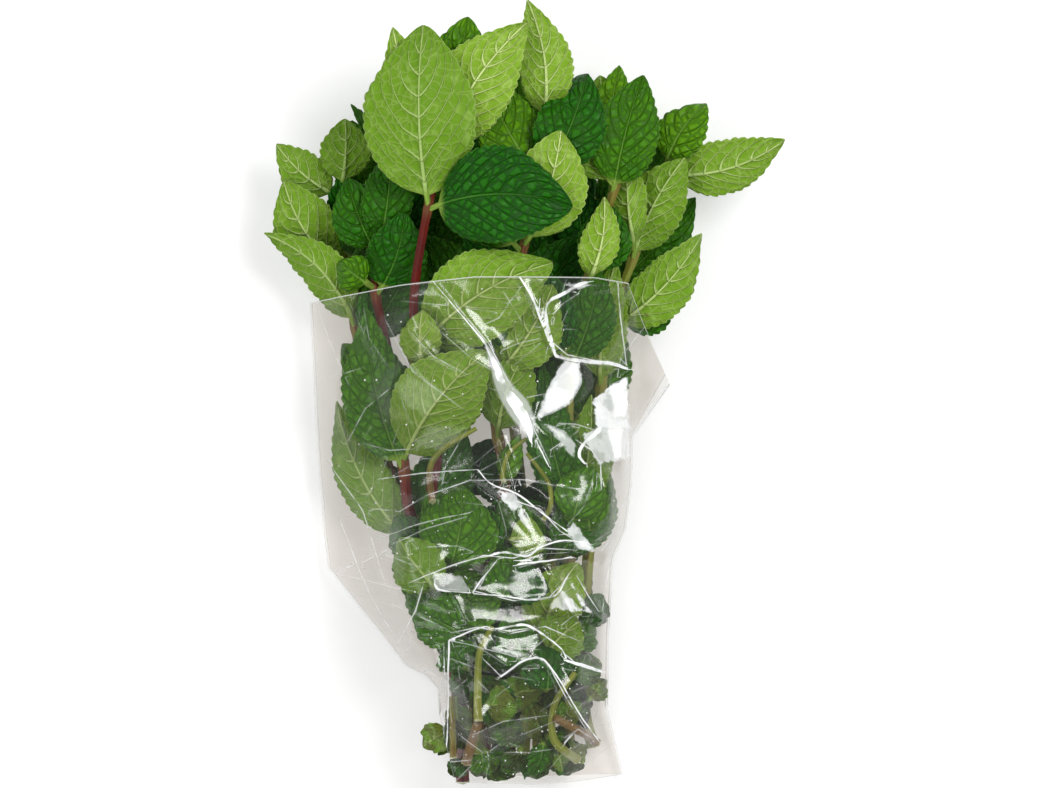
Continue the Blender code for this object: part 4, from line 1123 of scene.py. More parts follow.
def sheet_quads(rows, columns):
    """The quads of two grids that face away from each other and of the rim round them, and which belong on top."""
    n = rows * columns
    at = np.arange(n).reshape(rows, columns)
    a, b, c, d = (corner.ravel() for corner in (at[:-1, :-1], at[1:, :-1], at[1:, 1:], at[:-1, 1:]))
    top = np.stack([a, b, c, d], axis=1)
    left, right = at[:, 0], at[:, -1]
    root, tip = at[0], at[-1]
    rims = []
    for rim, turned in ((left, True), (right, False), (root, False), (tip, True)):
        p, q = rim[:-1], rim[1:]
        quad = np.stack([q, p, p + n, q + n] if turned else [p, q, q + n, p + n], axis=1)
        rims.append(quad)
    low = top[:, ::-1] + n
    quads = np.concatenate([top, *rims, low])
    return quads, np.arange(len(quads)) < len(quads) - len(low)


sample = leaf_sheet(leaves[0])
print("the first leaf has", len(sample[0]), "points and", len(sample[1]), "quads")

# %% The leaves of each sprig
def sprig_leaves(name):
    """All the leaves of one sprig in one mesh, each a closed sheet of its own."""
    points, quads, sides, reads, count = [], [], [], {}, 0
    for leaf in leaves:
        if leaf.sprig != name:
            continue
        own_points, own_quads, own_sides, own_reads = leaf_sheet(leaf)
        points.append(own_points)
        quads.append(own_quads + count)
        sides.append(own_sides)
        for key, values in own_reads.items():
            reads.setdefault(key, []).append(values)
        count += len(own_points)
    reads = {key: np.concatenate(values) for key, values in reads.items()}
    finishes = (upper_finish, under_finish)
    slots = np.concatenate(sides).astype(np.int32)
    return smooth_mesh(name + "_leaves", np.concatenate(points), np.concatenate(quads), finishes, slots, **reads)


for name in stems:
    blades = sprig_leaves(name)
    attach(blades, "root")
    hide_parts(name)
    print(blades.name, "has", len(blades.data.polygons), "quads")

# %% [markdown]
# ## Square stems
# A mint stem is square, with slightly hollow faces, and swells a little at each node, where a pair of leaves
# grew. It could be a plain tube, but the flat faces catch the light in long lines, which is how a mint stem is
# known. The profile follows a path, so Geometry Nodes draw it: a guide line carries the thickness at each point,
# and a rounded square is swept along it.

# %% The stem finish
STEM_GREEN, STEM_RED = (0.26, 0.31, 0.045), (0.14, 0.012, 0.005)
STEM_PURPLE, STEM_BROWN = (0.05, 0.006, 0.012), (0.21, 0.13, 0.045)
CUT_PALE = (0.42, 0.44, 0.22)
CUT_LENGTH = 0.8


def stem_skin():
    finish = Finish("mint_stem", Specular_IOR_Level=0.18)
    along, flush, swollen = finish.stored("stem_place")
    corner, around, _ = finish.stored("stem_corner")
    age, _, _ = finish.stored("stem_age")
    place = finish.place()
    patches = finish.noise(place, 9.0, 3.0) - 0.5
    strands = finish.node("ShaderNodeCombineXYZ", None, {0: along * 0.05, 1: around * 14, 2: flush * 9})
    streaks = finish.noise(strands, 1.0, 3.0) - 0.5
    red = flush + 0.7 * patches + 0.9 * streaks + 0.12 * corner
    warm = finish.blend(red.step(0.3, 0.75), STEM_GREEN, STEM_RED)
    deep = finish.blend(red.step(0.85, 1.35) * 0.8, warm, STEM_PURPLE)
    worn = finish.blend((patches - streaks).step(0.15, 0.45) * 0.35, deep, STEM_BROWN)
    aged = finish.blend((age + 0.8 * streaks + 0.5 * patches).step(0.2, 0.8), worn, STEM_BROWN)
    ringed = finish.blend(swollen * 0.35, aged, STEM_BROWN)
    finish.colour(finish.blend(along.step(CUT_LENGTH, CUT_LENGTH / 3), ringed, CUT_PALE))
    finish.roughness(0.4 + 0.25 * streaks + 0.15 * patches)
    finish.relief(0.25 * streaks + 0.04 * finish.noise(place, 0.4))
    return finish.material


stem_finish = stem_skin()
print(stem_finish.name, "has", len(stem_finish.node_tree.nodes), "nodes")

# %% The sweep
PROFILE_POINTS = 24
HOLLOW, FULL = 0.70, 0.25  # a face's middle, and what a corner adds to it


def stem_growth():
    """A growth that sweeps a rounded square with hollow faces along a guide."""
    sweep = Growth("stem_sweep", Finish="Material")
    ring = sweep.node("GeometryNodeCurvePrimitiveCircle", None, {"Resolution": PROFILE_POINTS, "Radius": 1.0})
    turn = sweep.node("GeometryNodeSplineParameter")
    corner = abs((turn * (4 * math.pi)).math("COSINE")) ** 3
    around = (turn * (2 * math.pi)).math("SINE")
    here = sweep.node("GeometryNodeInputPosition")
    out = sweep.node("ShaderNodeVectorMath", {"operation": "SCALE"}, {0: here, "Scale": HOLLOW + FULL * corner})
    square = sweep.node("GeometryNodeSetPosition", None, {"Geometry": ring, "Position": out})
    reads = sweep.node("ShaderNodeCombineXYZ", None, {0: corner, 1: around})
    settings = {"data_type": "FLOAT_VECTOR", "domain": "POINT"}
    kept = sweep.node("GeometryNodeStoreNamedAttribute", settings,
                      {"Geometry": square, "Name": "stem_corner", "Value": reads})
    line = sweep.node("GeometryNodeMeshToCurve", None, {"Mesh": sweep.given["Geometry"]})
    upright = sweep.node("GeometryNodeSetCurveNormal", {"mode": "Z_UP"}, {"Curve": line})
    thickness = sweep.node("GeometryNodeInputNamedAttribute", {"data_type": "FLOAT"}, {"Name": "thickness"})
    bar = sweep.node("GeometryNodeCurveToMesh", None,
                     {"Curve": upright, "Profile Curve": kept, "Scale": thickness, "Fill Caps": True})
    sweep.end(sweep.node("GeometryNodeSetShadeSmooth", None, {"Geometry": bar}))
    return sweep


stem_sweep = stem_growth()
print("the sweep has", len(stem_sweep.tree.nodes), "nodes")

# %% The stems
NODE_SWELL, NODE_REACH = 0.22, 2.2
FLARE, FLARE_REACH = 0.06, 3.0


def guide_line(name, line, radius, place, age):
    """A mesh of edges that carries its thickness and what the stem finish reads."""
    edges = [(k, k + 1) for k in range(len(line) - 1)]
    mesh = bpy.data.meshes.new(name)
    mesh.from_pydata((line * MM).tolist(), edges, [])
    keep_on(mesh, "thickness", radius * MM)
    keep_on(mesh, "stem_place", place)
    keep_on(mesh, "stem_age", np.stack([age] * 3, axis=1))
    return placed(name, mesh)


def run_along(line):
    """How far along a line each of its points is."""
    return np.concatenate([[0], np.cumsum(np.linalg.norm(np.diff(line, axis=0), axis=1))])


def stem_guide(stem, roots):
    """The stem's line, thicker at each node and a little at its cut end."""
    along, swollen = run_along(stem.line), np.zeros(len(stem.line))
    for root_y in roots:
        swollen = np.maximum(swollen, np.exp(-((stem.line[:, 1] - root_y) / NODE_REACH) ** 2))
    radius = stem.radius * (1 + NODE_SWELL * swollen + FLARE * np.exp(-along / FLARE_REACH))
    place = np.stack([along, np.full(len(along), stem.flush), swollen], axis=1)
    return guide_line(stem.sprig + "_guide", stem.line, radius, place, np.zeros(len(along)))


for name, stem in stems.items():
    roots = [leaf.root_y for leaf in leaves if leaf.sprig == name]
    bar = stem_sweep.grow(name + "_stem", stem_guide(stem, roots), Finish=stem_finish)
    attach(bar, "root")
    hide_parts(name)
    print(bar.name, "has", len(bar.data.polygons), "faces")

# %% The top of the pile
SMOOTH_ROUNDS = 3


def smoothed(top):
    """The pile's top, without the steps of its cells."""
    for _ in range(SMOOTH_ROUNDS):
        for axis in (0, 1):
            top = (np.roll(top, 1, axis) + 2 * top + np.roll(top, -1, axis)) / 4
    return top


def pile_top(xy):
    """The height of the pile at each place, blended between cells."""
    top = smoothed(pile.reached(pile.tops))
    place = np.clip((xy + (HALF_X, HALF_Y)) / CELL - 0.5, 0, np.array(top.shape) - 1.001)
    at = place.astype(int)
    f, g = (place - at).T
    i, j = at.T
    low = top[i, j] * (1 - f) + top[i + 1, j] * f
    high = top[i, j + 1] * (1 - f) + top[i + 1, j + 1] * f
    return low * (1 - g) + high * g


print("the pile stands", round(pile_top(np.array([[0.0, 0.0]]))[0], 1), "mm high at its middle")

# %% [markdown]
# ## Bare stalks on top
# Low in the sleeve some stems lost their leaves as the bunch was pushed in, and lie in front of the others. They
# are short bare pieces, green where they still live and brown where they were bruised. They lie on the pile under
# the film, so they are laid last, each over what is there.

# %% The bare stalks
STALK_POINTS = 60
STALK_SINK = 0.6  # how far a stalk sinks between the leaves under it
STALK_ROUNDS = 30  # rounds that make it bridge the valleys
STALK_SIDE = 0.7  # where its flanks are, as a share of its radius
STALKS = (
    # the sprig it is from, its places, its radius at both ends, how flushed it is, and its age at both ends
    ("sprig_10", ((-17.8, -114.2), (-15.9, -106.8), (-13.9, -100.5)), (1.6, 1.5), 0.0, (1.1, 1.0)),
    ("sprig_10", ((-13.8, -100), (-14, -91.4), (-13.4, -79.1), (-9.6, -71)), (1.5, 0.9), 0.0, (0.3, -0.3)),
    ("sprig_11", ((17.1, -113.9), (13.3, -110.5), (9.6, -106.8), (8.7, -100.7), (10.2, -93.9), (15.8, -85.2)),
     (1.6, 0.9), 0.0, (0.25, -0.3)),
    ("sprig_6", ((23.3, -109.3), (17.1, -103.8), (9.6, -99.4)), (1.6, 1.3), 0.5, (0.9, 0.8)),
    ("sprig_1", ((-21.6, -112), (-21.8, -104), (-22.1, -93.3)), (1.2, 1.0), 0.45, (0.3, -0.3)),
    ("sprig_8", ((-28, -33), (-29, -23), (-24.6, -16.5), (-14.5, -10.3)), (1.2, 0.7), 0.0, (0.9, -0.2)),
    ("sprig_5", ((6.1, -38.5), (8.3, -34.1), (8, -27.9), (4.9, -22.9), (1, -18)), (0.9, 0.6), 0.0, (-0.2, -0.3)),
    ("sprig_7", ((-6, -27), (-6.4, -24.2), (-4.5, -18), (0.9, -13.4)), (0.9, 0.6), 0.0, (-0.3, -0.3)),
)
stalk_counts = {}
pile.tops["stalks"] = np.zeros(pile.shape)
for name, places, radii, flush, ages in STALKS:
    line = spline([(*place, 0) for place in places], STALK_POINTS)
    radius = np.linspace(*radii, STALK_POINTS)
    height = pile_top(line[:, :2])
    for _ in range(STALK_ROUNDS):
        padded = np.pad(height, 1, "edge")
        height = np.maximum(height, (padded[:-2] + padded[2:]) / 2)
    line[:, 2] = height + radius - STALK_SINK
    aside = np.cross(np.gradient(line, axis=0), (0, 0, 1))
    aside /= np.linalg.norm(aside, axis=1, keepdims=True)
    for across, depth in ((-STALK_SIDE, 0.5), (0, 1), (STALK_SIDE, 0.5)):
        pile.lay("stalks", line + across * radius[:, None] * aside, radius * depth)
    along = run_along(line)
    place = np.stack([along, np.full(STALK_POINTS, flush), np.zeros(STALK_POINTS)], axis=1)
    guide = guide_line(name + "_guide", line, radius, place, np.linspace(*ages, STALK_POINTS))
    stalk_counts[name] = stalk_counts.get(name, 0) + 1
    bar = stem_sweep.grow(f"{name}_stalk_{stalk_counts[name]}", guide, Finish=stem_finish)
    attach(bar, "root")
    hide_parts(name)
print(len(STALKS), "bare stalks are laid")

# %% [markdown]
# ## The sleeve of clear film
# The sleeve is a thin tube, welded along its two edges. Where it crosses the leaves it hangs from the high ones as
# a tent does, and everywhere it is creased. A cloth simulation would need hours for so thin and stiff a film, so
# its front is found by relaxing: each point sinks to the mean of its neighbours, unless something under it holds
# it up. Folds are then raised on it: long ones, placed where the film is pulled, and many small ones.

# %% The film's grid
FILM_WALL = 0.15
SLEEVE_LENGTH = 158
FRONT_GRID = (140, 200)  # columns and rows
BACK_GRID = 22
REST_ROUNDS = 500
SEAM_SPREAD = 1.3  # above 1 it sets the columns closer together near the seams


def across_shares(count):
    """Shares of the way across, closer together towards both seams."""
    x = np.linspace(-1, 1, count)
    return (np.sign(x) * (1 - (1 - abs(x)) ** SEAM_SPREAD) + 1) / 2


def resting_film(u, v, need):
    """The film's front, hung over what lies under it and held down at both seams."""
    floor = back_height(u.ravel(), v.ravel()).reshape(u.shape) + FILM + SEAM_GAP
    need = np.maximum(need, floor)
    need[:, [0, -1]] = floor[:, [0, -1]]
    height = need.copy()
    for _ in range(REST_ROUNDS):
        padded = np.pad(height, ((1, 1), (0, 0)), "edge")
        mean = height.copy()
        mean[:, 1:-1] = (padded[:-2, 1:-1] + padded[2:, 1:-1] + height[:, :-2] + height[:, 2:]) / 4
        height = np.maximum(need, mean)
    return height


front_u, front_v = np.meshgrid(across_shares(FRONT_GRID[0]), np.linspace(0, 1, FRONT_GRID[1]))
front_xy = sleeve_point(front_u.ravel(), front_v.ravel())
front_top = resting_film(front_u, front_v, pile_top(front_xy).reshape(front_u.shape) + FILM_ROOM)
print("the film rests as high as", round(front_top.max(), 1), "mm")

# %% Creases
CREASES = (
    # the points of each long crease, its width and its height
    (((-25.9, 34.1), (-17.5, 23.9), (-10.4, 15.5), (-5.7, 6.2), (2, -7.7), (9.1, -23.2)), 4.0, 1.1),
    (((-1.1, 36.3), (3, 29), (6.7, 23.3), (8, 17), (13.5, 12.4), (23.7, 10.3), (33.6, 8.4)), 4.0, 1.4),
    (((19, 32.6), (12, 28), (8.2, 23.9)), 4.0, 1.2),
    (((15, -13), (21, -17), (23.7, -21), (24, -30)), 6.0, 1.3),
    (((-8.8, -25.7), (-2.6, -32.5), (5.1, -35), (11.3, -41.8), (20.6, -47.4)), 4.5, 1.4),
    (((-42.9, -38.7), (-30, -31), (-16.6, -26.3), (0, -26), (20, -29.5)), 3.0, 0.7),
    (((-43.6, -47.4), (-30, -41), (-16.6, -37.1)), 2.5, 0.5),
    (((-30, -55), (-12, -49), (-3, -50), (6, -47), (20, -48)), 3.5, 1.2),
    (((-2, -53), (6, -51), (16, -50)), 3.0, 1.0),
    (((-8.8, -50), (-13.5, -59)), 2.5, 0.8),
    (((-28, -59), (-15, -60), (-3, -63), (8, -62), (14, -56)), 3.5, 1.2),
    (((16, -55), (20, -62), (24, -68)), 5.0, 1.4),
    (((-22.8, -72.9), (-14, -71), (-4, -73), (6.7, -71), (17.7, -76)), 3.5, 1.2),
    (((-24.4, -75.4), (-24, -90), (-25, -117)), 2.5, 1.0),
    (((-7, -86.8), (-1, -82), (4, -80), (8.2, -83.7), (14, -94.5), (21.7, -107)), 3.5, 1.3),
    (((12, -79), (17, -83), (24, -85)), 3.5, 1.2),
    (((12, -106), (17, -103), (22, -107)), 2.5, 0.8),
    (((-60, -55.8), (-50, -52), (-39.8, -46.5)), 3.5, 0.8),
    (((-58, -38), (-48, -62), (-40, -76)), 5.0, 1.0),
    (((-62, -20), (-50, -36), (-42, -60)), 5.0, 0.9),
    (((-40, -79), (-33, -66), (-30, -56)), 3.0, 0.9),
    (((33, -30), (26, -46), (22, -50)), 3.0, 0.8),
    (((27, -52), (25, -64), (24, -70)), 3.0, 0.8),
)
STEEP_SHARE = 0.3  # the width of a crease's steep flank, as a share of its gentle one
END_SHARE = 0.25  # the share of a crease's length over which each end fades
LINE_FULL, LINE_FADE = 1.6, 1.5  # a painted highlight line is followed out to their product, in millimetres
CREASE_LINE, FAINT_LINE = 0.9, 0.12  # a crease's painted highlight line to its height, and the faintest line
SMALL_CREASES = 80
SMALL_LENGTH, SMALL_WIDTH, SMALL_HEIGHT = (10, 40), (1.5, 4.5), (0.15, 0.6)
SMALL_ACROSS, SMALL_UP = (0.05, 0.95), (0.03, 0.97)  # where their middles may lie in the sleeve
SMALL_TURN = (0.25, 0.75)  # how far they turn from straight across, in radians, and how much that varies
SMALL_BEND = 0.16
CREASE_SEED = 11
FAR = 9.0  # stands for a distance that is too large to matter


def everywhere(value):
    """The same number at each point of the film's front."""
    return np.full(len(front_xy), float(value))


def left_of(way):
    """A quarter turn to the left."""
    return np.array([-way[1], way[0]])


def beside(xy, a, b):
    """For each place: how far along the stretch from a to b it is, how far off it, and how far to its left."""
    length = np.linalg.norm(b - a)
    way = (b - a) / length
    run = np.clip((xy - a) @ way, 0, length)
    away = xy - a - run[:, None] * way
    return run, np.linalg.norm(away, axis=1), away @ left_of(way)


def crease(xy, points, width, height):
    """How much one crease raises each place, and how far to its left and how strong it is there.

    Its left flank is gentle, its right one steep, and its ends fade.
    """
    points = np.array(points, float)
    lengths = np.linalg.norm(np.diff(points, axis=0), axis=1)
    starts, whole = np.concatenate([[0], np.cumsum(lengths)]), lengths.sum()
    best = np.full(len(xy), np.inf)
    raised, side, strength = np.zeros((3, len(xy)))
    for a, b, start in zip(points, points[1:], starts):
        run, off, left = beside(xy, a, b)
        tent = np.clip(1 - off / np.where(left > 0, width, width * STEEP_SHARE), 0, 1)
        end = np.clip(np.minimum(start + run, whole - start - run) / (END_SHARE * whole), 0, 1)
        near = off < best
        best = np.where(near, off, best)
        raised = np.where(near, tent * np.sqrt(end), raised)
        side = np.where(near, np.copysign(off, left), side)
        strength = np.where(near, np.sqrt(end), strength)
    return height * raised, side, strength * beside_line(best)


def beside_line(off):
    """How strongly a line still counts at some distance off it."""
    return np.clip(LINE_FULL - off / LINE_FADE, 0, 1)


def small_creases():
    """Short bent creases, strewn over the sleeve with a fixed seed. Most run across it, as it was squeezed."""
    random = np.random.default_rng(CREASE_SEED)
    made = []
    for _ in range(SMALL_CREASES):
        middle = sleeve_point([random.uniform(*SMALL_ACROSS)], [random.uniform(*SMALL_UP)])[0]
        turn = random.normal(*SMALL_TURN)
        way = np.array([math.cos(turn), math.sin(turn)])
        reach = random.uniform(*SMALL_LENGTH) / 2
        bend = random.uniform(-SMALL_BEND, SMALL_BEND) * reach * left_of(way)
        line = (middle - reach * way - bend, middle + bend, middle + reach * way - bend)
        made.append((line, random.uniform(*SMALL_WIDTH), random.uniform(*SMALL_HEIGHT)))
    return made


folds, fold_side, fold_strength = everywhere(0), everywhere(FAR), everywhere(0)
for points, width, height in CREASES + tuple(small_creases()):
    raised, side, strength = crease(front_xy, points, width, height)
    strength *= np.clip(CREASE_LINE * height, FAINT_LINE, 1)
    folds = np.maximum(folds, raised)
    fold_side = np.where(strength > fold_strength, side, fold_side)
    fold_strength = np.maximum(fold_strength, strength)
print(len(CREASES), "long creases and", SMALL_CREASES, "small ones stand up to", round(folds.max(), 1), "mm")

# %% [markdown]
# ## Flat facets and flashes
# Between its creases a stiff film lies in flat facets, and one that faces the lamp shines white as a whole; here
# that white is a painted highlight. Where it is bent sharply it flashes in thin lines. How a lamp is mirrored in a
# film hangs on slopes too fine to lay by hand, so the largest flashes are written down as painted highlights: the
# film keeps how near each of its points is to each of them, and its finish paints them white there.

# %% Facets
PLATE_SLOPE, PLATE_TOWARDS = 0.25, 32  # how steep the flat facets lie, and the azimuth that they face
PLATE_DROP, PLATE_REACH = 0.9, 3.0  # how steeply the film falls off round a facet, and how far out
PLATE_LINE = 0.6  # how strong the painted highlight line round a facet is
PLATES = (
    # the corners of each flat facet, how far its middle stands over the film, and how white its painted highlight
    # is
    (((11.5, 11), (17.3, 9.8), (18, 3.6), (14.5, -2.5), (9, -5.5), (4, -7.2), (4.8, -2.6), (8.4, 3.6)), 1.0, 0.8),
    (((21, 0), (27.1, 3), (32.2, 7.4), (32.9, -10.3), (23, -10.3)), 0.8, 1.0),
    (((6.3, -8.8), (12.5, -11), (16.3, -15), (15.6, -19.6)), 0.4, 0.5),
    (((18, -12), (24, -10.3), (33, -10.3), (33.3, -19.6), (23, -21)), 0.4, 0.75),
    (((-8.7, -28.8), (-2.2, -30.7), (-0.5, -36), (-4.4, -34.7)), 0.5, 0.85),
    (((-2.2, -30.7), (0, -36), (4.3, -46), (-1.5, -37)), 0.5, 0.85),
    (((15.7, -39.1), (22.2, -48.4), (17.2, -47.2), (13.2, -41.6)), 0.4, 0.8),
    (((7.3, -65.3), (12.6, -60.3), (17.8, -66.5)), 0.5, 1.0),
    (((13.5, -55.9), (20.9, -67.1), (18.8, -66.5)), 0.4, 0.95),
    (((-28, -55), (-19, -55.5), (-16, -60.5), (-26, -59.5)), 0.3, 0.35),
    (((-22, -75.5), (-12, -77), (-3, -80), (4, -80), (-4, -76)), 0.2, 0.3),
    (((6, 35.6), (15, 34.4), (24, 34.4), (17, 32.8)), 0.2, 0.6),
)


def plate(xy, corners, centre_height):
    """The height of a flat facet that faces the key lamp, falling off round it, and how far outside it is."""
    corners = np.array(corners, float)
    middle = corners.mean(axis=0)
    turn = math.radians(PLATE_TOWARDS)
    level = centre_height - PLATE_SLOPE * (xy - middle) @ np.array([math.cos(turn), math.sin(turn)])
    outside = np.full(len(xy), -np.inf)
    for a, b in zip(corners, np.roll(corners, -1, axis=0)):
        way = (b - a) / np.linalg.norm(b - a)
        away = (xy - a) @ left_of(way)
        away *= -np.sign((middle - a) @ left_of(way))
        outside = np.maximum(outside, away)
    return level - PLATE_DROP * np.maximum(outside, 0), outside


# Each place keeps how white the painted highlight of its nearest facet is.
patch_outside, patch_highlight = everywhere(FAR), everywhere(0)
for corners, lift, white in PLATES:
    middle = np.array([np.mean(corners, axis=0)])
    base = front_top.ravel()[np.linalg.norm(front_xy - middle, axis=1).argmin()]
    level, outside = plate(front_xy, corners, base + lift)
    raised = np.where(outside < PLATE_REACH, level - front_top.ravel(), 0)
    shows = raised > folds
    folds = np.maximum(folds, raised)
    strength = PLATE_LINE * beside_line(abs(outside)) * shows
    fold_side = np.where(strength > fold_strength, outside, fold_side)
    fold_strength = np.maximum(fold_strength, strength)
    patch_highlight = np.where(outside < patch_outside, white, patch_highlight)
    patch_outside = np.minimum(patch_outside, outside)
print(len(PLATES), "flat facets are set in the film")

# %% Flashes
FLASHES = (
    # the middle of each long flash with half its width at each point, and how white its painted highlight is
    (((-28.1, 35.2, 0.1), (-17.6, 22.9, 0.25), (-11.8, 15.9, 0.7), (-9.1, 10.5, 1.3), (-5.7, 2, 2.2),
      (-1.4, -4.1, 2.8), (1.7, -10.3, 1.9), (2.3, -14.2, 0.5)), 1.0),
    (((1.9, -9, 0.35), (4, -14.2, 0.3), (7.8, -21.9, 0.3)), 1.0),
    (((-1.4, 36.6, 0.4), (2.4, 30.6, 0.6), (5.5, 22.9, 0.6), (9.4, 13.6, 0.7), (10.9, 11.8, 0.8),
      (17.9, 10.5, 0.9), (27.1, 9.8, 0.9), (32.2, 8.2, 0.5)), 0.95),
    (((20, 34.8, 0.5), (17.1, 34, 0.9), (12.5, 31.4, 0.8), (7.5, 28.3, 0.7), (7.1, 23.7, 0.7),
      (8.6, 17.5, 0.6), (9.8, 13.4, 0.5)), 0.9),
    (((24.1, -10.3, 1.3), (18.7, -15, 0.8), (17.1, -18.5, 0.7), (18.7, -20.9, 0.6)), 0.95),
    (((29.1, 34.5, 0.25), (30.6, 19.8, 0.3), (32.3, 8.2, 0.3)), 0.6),
    (((-14, -22.9, 0.3), (-9.9, -27.3, 0.35), (-1.9, -30.4, 0.4), (5.5, -36, 0.35), (13.2, -41.6, 0.3)), 0.95),
    (((-10.6, -49.1, 0.4), (-5.6, -48.1, 0.6), (1.2, -49.4, 0.5), (4.9, -46.9, 0.45), (11.7, -44.7, 0.4),
      (20, -45.5, 0.3)), 0.9),
    (((-1.6, -51.9, 0.5), (4.9, -51.2, 0.4), (14.7, -50, 0.4)), 0.9),
    (((-8.4, -50.9, 0.3), (-12, -55.5, 0.4), (-15.5, -60.3, 0.4)), 0.7),
    (((-26.8, -58.2, 0.8), (-25.5, -59.6, 0.5), (-16.7, -60.6, 0.25), (-4.4, -61.8, 0.3), (1.8, -62.8, 0.45),
      (9.8, -61.5, 0.45), (13.5, -55.9, 0.4)), 0.85),
    (((-6.9, -71.5, 0.5), (-3, -70.7, 0.6), (1.8, -70.9, 0.55), (10.9, -77.2, 0.35), (13.3, -80.9, 0.35)), 0.9),
    (((-12.2, -71, 0.3), (-16.8, -72.5, 0.35), (-22.7, -75, 0.4)), 0.8),
    (((-22.7, -75, 0.4), (-23.1, -88, 0.35), (-23.4, -101.9, 0.35), (-24.3, -116.7, 0.3)), 0.8),
    (((-22.7, -75, 0.25), (-12, -77.5, 0.2), (-3, -80, 0.25)), 0.4),
    (((-12, -81, 0.2), (-9.5, -83.6, 0.25), (-6.9, -86.2, 0.25)), 0.5),
    (((-44, -44, 0.2), (-30, -39, 0.3), (-16, -36, 0.2)), 0.35),
    (((-34, -57, 0.2), (-20, -51.5, 0.3), (-10.6, -49.1, 0.3)), 0.6),
    (((-60, -56, 0.2), (-47, -58, 0.25), (-34, -60, 0.2)), 0.45),
    (((-44, -26, 0.25), (-30, -24, 0.3), (-14, -22.9, 0.2)), 0.5),
    (((-6.9, -86.2, 0.4), (-0.3, -81.5, 0.45), (4.6, -80.6, 0.45), (7.7, -82.8, 0.4), (12.1, -88.9, 0.35),
      (16.5, -97, 0.35), (23.3, -107.5, 0.3)), 0.9),
    (((13.3, -81.5, 0.5), (18.9, -83.4, 0.8), (23.9, -85.5, 0.6)), 0.95),
    (((12.7, -107.5, 0.4), (14.5, -105.2, 0.5), (15.8, -103.8, 0.4)), 0.7),
)
FLASH_POINTS = 25
FLASH_FADE = 1.6  # how far outside a flash its nearness is still kept
SEAM_SHARE = 0.04  # the share of the way across, beside a seam, where no fold stands up fully


def flash(xy, points):
    """How far to the left of a flash each place is, and half the flash's width there, or -1 far from it."""
    points = spline(points, FLASH_POINTS)
    side, half, best = np.full(len(xy), FAR), np.full(len(xy), -1.0), np.full(len(xy), np.inf)
    for a, b in zip(points, points[1:]):
        run, off, left = beside(xy, a[:2], b[:2])
        width = a[2] + (b[2] - a[2]) * run / np.linalg.norm(b[:2] - a[:2])
        near = off < best
        best = np.where(near, off, best)
        side = np.where(near, np.copysign(off, left), side)
        half = np.where(near, np.where(off < width + FLASH_FADE, width, -1), half)
    return side, half


# Each place keeps its nearest flash and how white that painted highlight is.
flash_side, flash_half, flash_highlight = everywhere(FAR), everywhere(-1), everywhere(0)
for points, white in FLASHES:
    side, half = flash(front_xy, points)
    nearer = half - abs(side) > flash_half - abs(flash_side)
    flash_side, flash_half = np.where(nearer, side, flash_side), np.where(nearer, half, flash_half)
    flash_highlight = np.where(nearer, white, flash_highlight)
held = np.minimum(front_u, 1 - front_u).ravel()
front_top += (folds * np.clip(held / SEAM_SHARE, 0, 1)).reshape(front_top.shape)
print(len(FLASHES), "flashes are laid, and the film stands up to", round(front_top.max(), 1), "mm")

# %% The film as one closed wall
def film_wall():
    """The front and the back as one tube with an outer and an inner skin and a rim at each open end."""
    columns, rows = FRONT_GRID
    back_u = 1 - across_shares(BACK_GRID + 2)[1:-1]
    back_u, back_v = np.meshgrid(back_u, front_v[:, 0])
    back_xy = sleeve_point(back_u.ravel(), back_v.ravel()).reshape(rows, -1, 2)
    low = back_height(back_u.ravel(), back_v.ravel()).reshape(rows, -1)
    outer_xy = front_xy.reshape(rows, -1, 2)
    across = np.linalg.norm(outer_xy[:, -1] - outer_xy[:, 0], axis=1)
    inset = np.clip(front_u, (SEAM_INSET / across)[:, None], 1 - (SEAM_INSET / across)[:, None])
    inner_xy = sleeve_point(inset.ravel(), front_v.ravel()).reshape(rows, -1, 2)
    seam = (front_u == front_u.min()) | (front_u == front_u.max())
    outer_top = np.where(seam, front_top, front_top + FILM_WALL)
    outer = np.concatenate([np.dstack([outer_xy, outer_top]), np.dstack([back_xy, low])], 1)
    inner = np.concatenate([np.dstack([inner_xy, front_top]), np.dstack([back_xy, low + FILM_WALL])], 1)
    around = outer.shape[1]
    points = np.concatenate([outer, inner]).reshape(-1, 3)
    n = rows * around
    at = np.arange(n).reshape(rows, around)
    a, b = at, np.roll(at, -1, axis=1)
    skin = np.stack([a[:-1], b[:-1], b[1:], a[1:]], axis=-1).reshape(-1, 4)
    lining = skin[:, ::-1] + n
    foot = np.stack([a[0], a[0] + n, b[0] + n, b[0]], axis=-1)
    mouth = np.stack([a[-1], b[-1], b[-1] + n, a[-1] + n], axis=-1)
    fold = np.zeros((2, rows, around, 3))
    fold[..., 0] = fold[..., 2] = FAR
    to_seam = np.minimum(front_u, 1 - front_u) * across[:, None]
    fold[:, :, :columns, 2] = np.minimum(to_seam, np.minimum(front_v, 1 - front_v) * SLEEVE_LENGTH)
    fold[0, :, :columns, 0] = fold_side.reshape(rows, -1)
    fold[0, :, :columns, 1] = fold_strength.reshape(rows, -1)
    flashes, patches = np.full((2, 2, rows, around, 3), -1.0)
    patches[..., 0] = FAR
    flashes[0, :, :columns] = np.stack([flash_side, flash_half, flash_highlight], axis=1).reshape(rows, -1, 3)
    patches[0, :, :columns] = np.stack([patch_outside, patch_highlight, patch_highlight], axis=1).reshape(rows, -1, 3)
    stored = {"film_fold": fold, "film_flash": flashes, "film_patch": patches}
    quads = np.concatenate([skin, lining, foot, mouth])
    return points, quads, {key: values.reshape(-1, 3) for key, values in stored.items()}


points, quads, stored = film_wall()
print("the film has", len(quads), "quads")
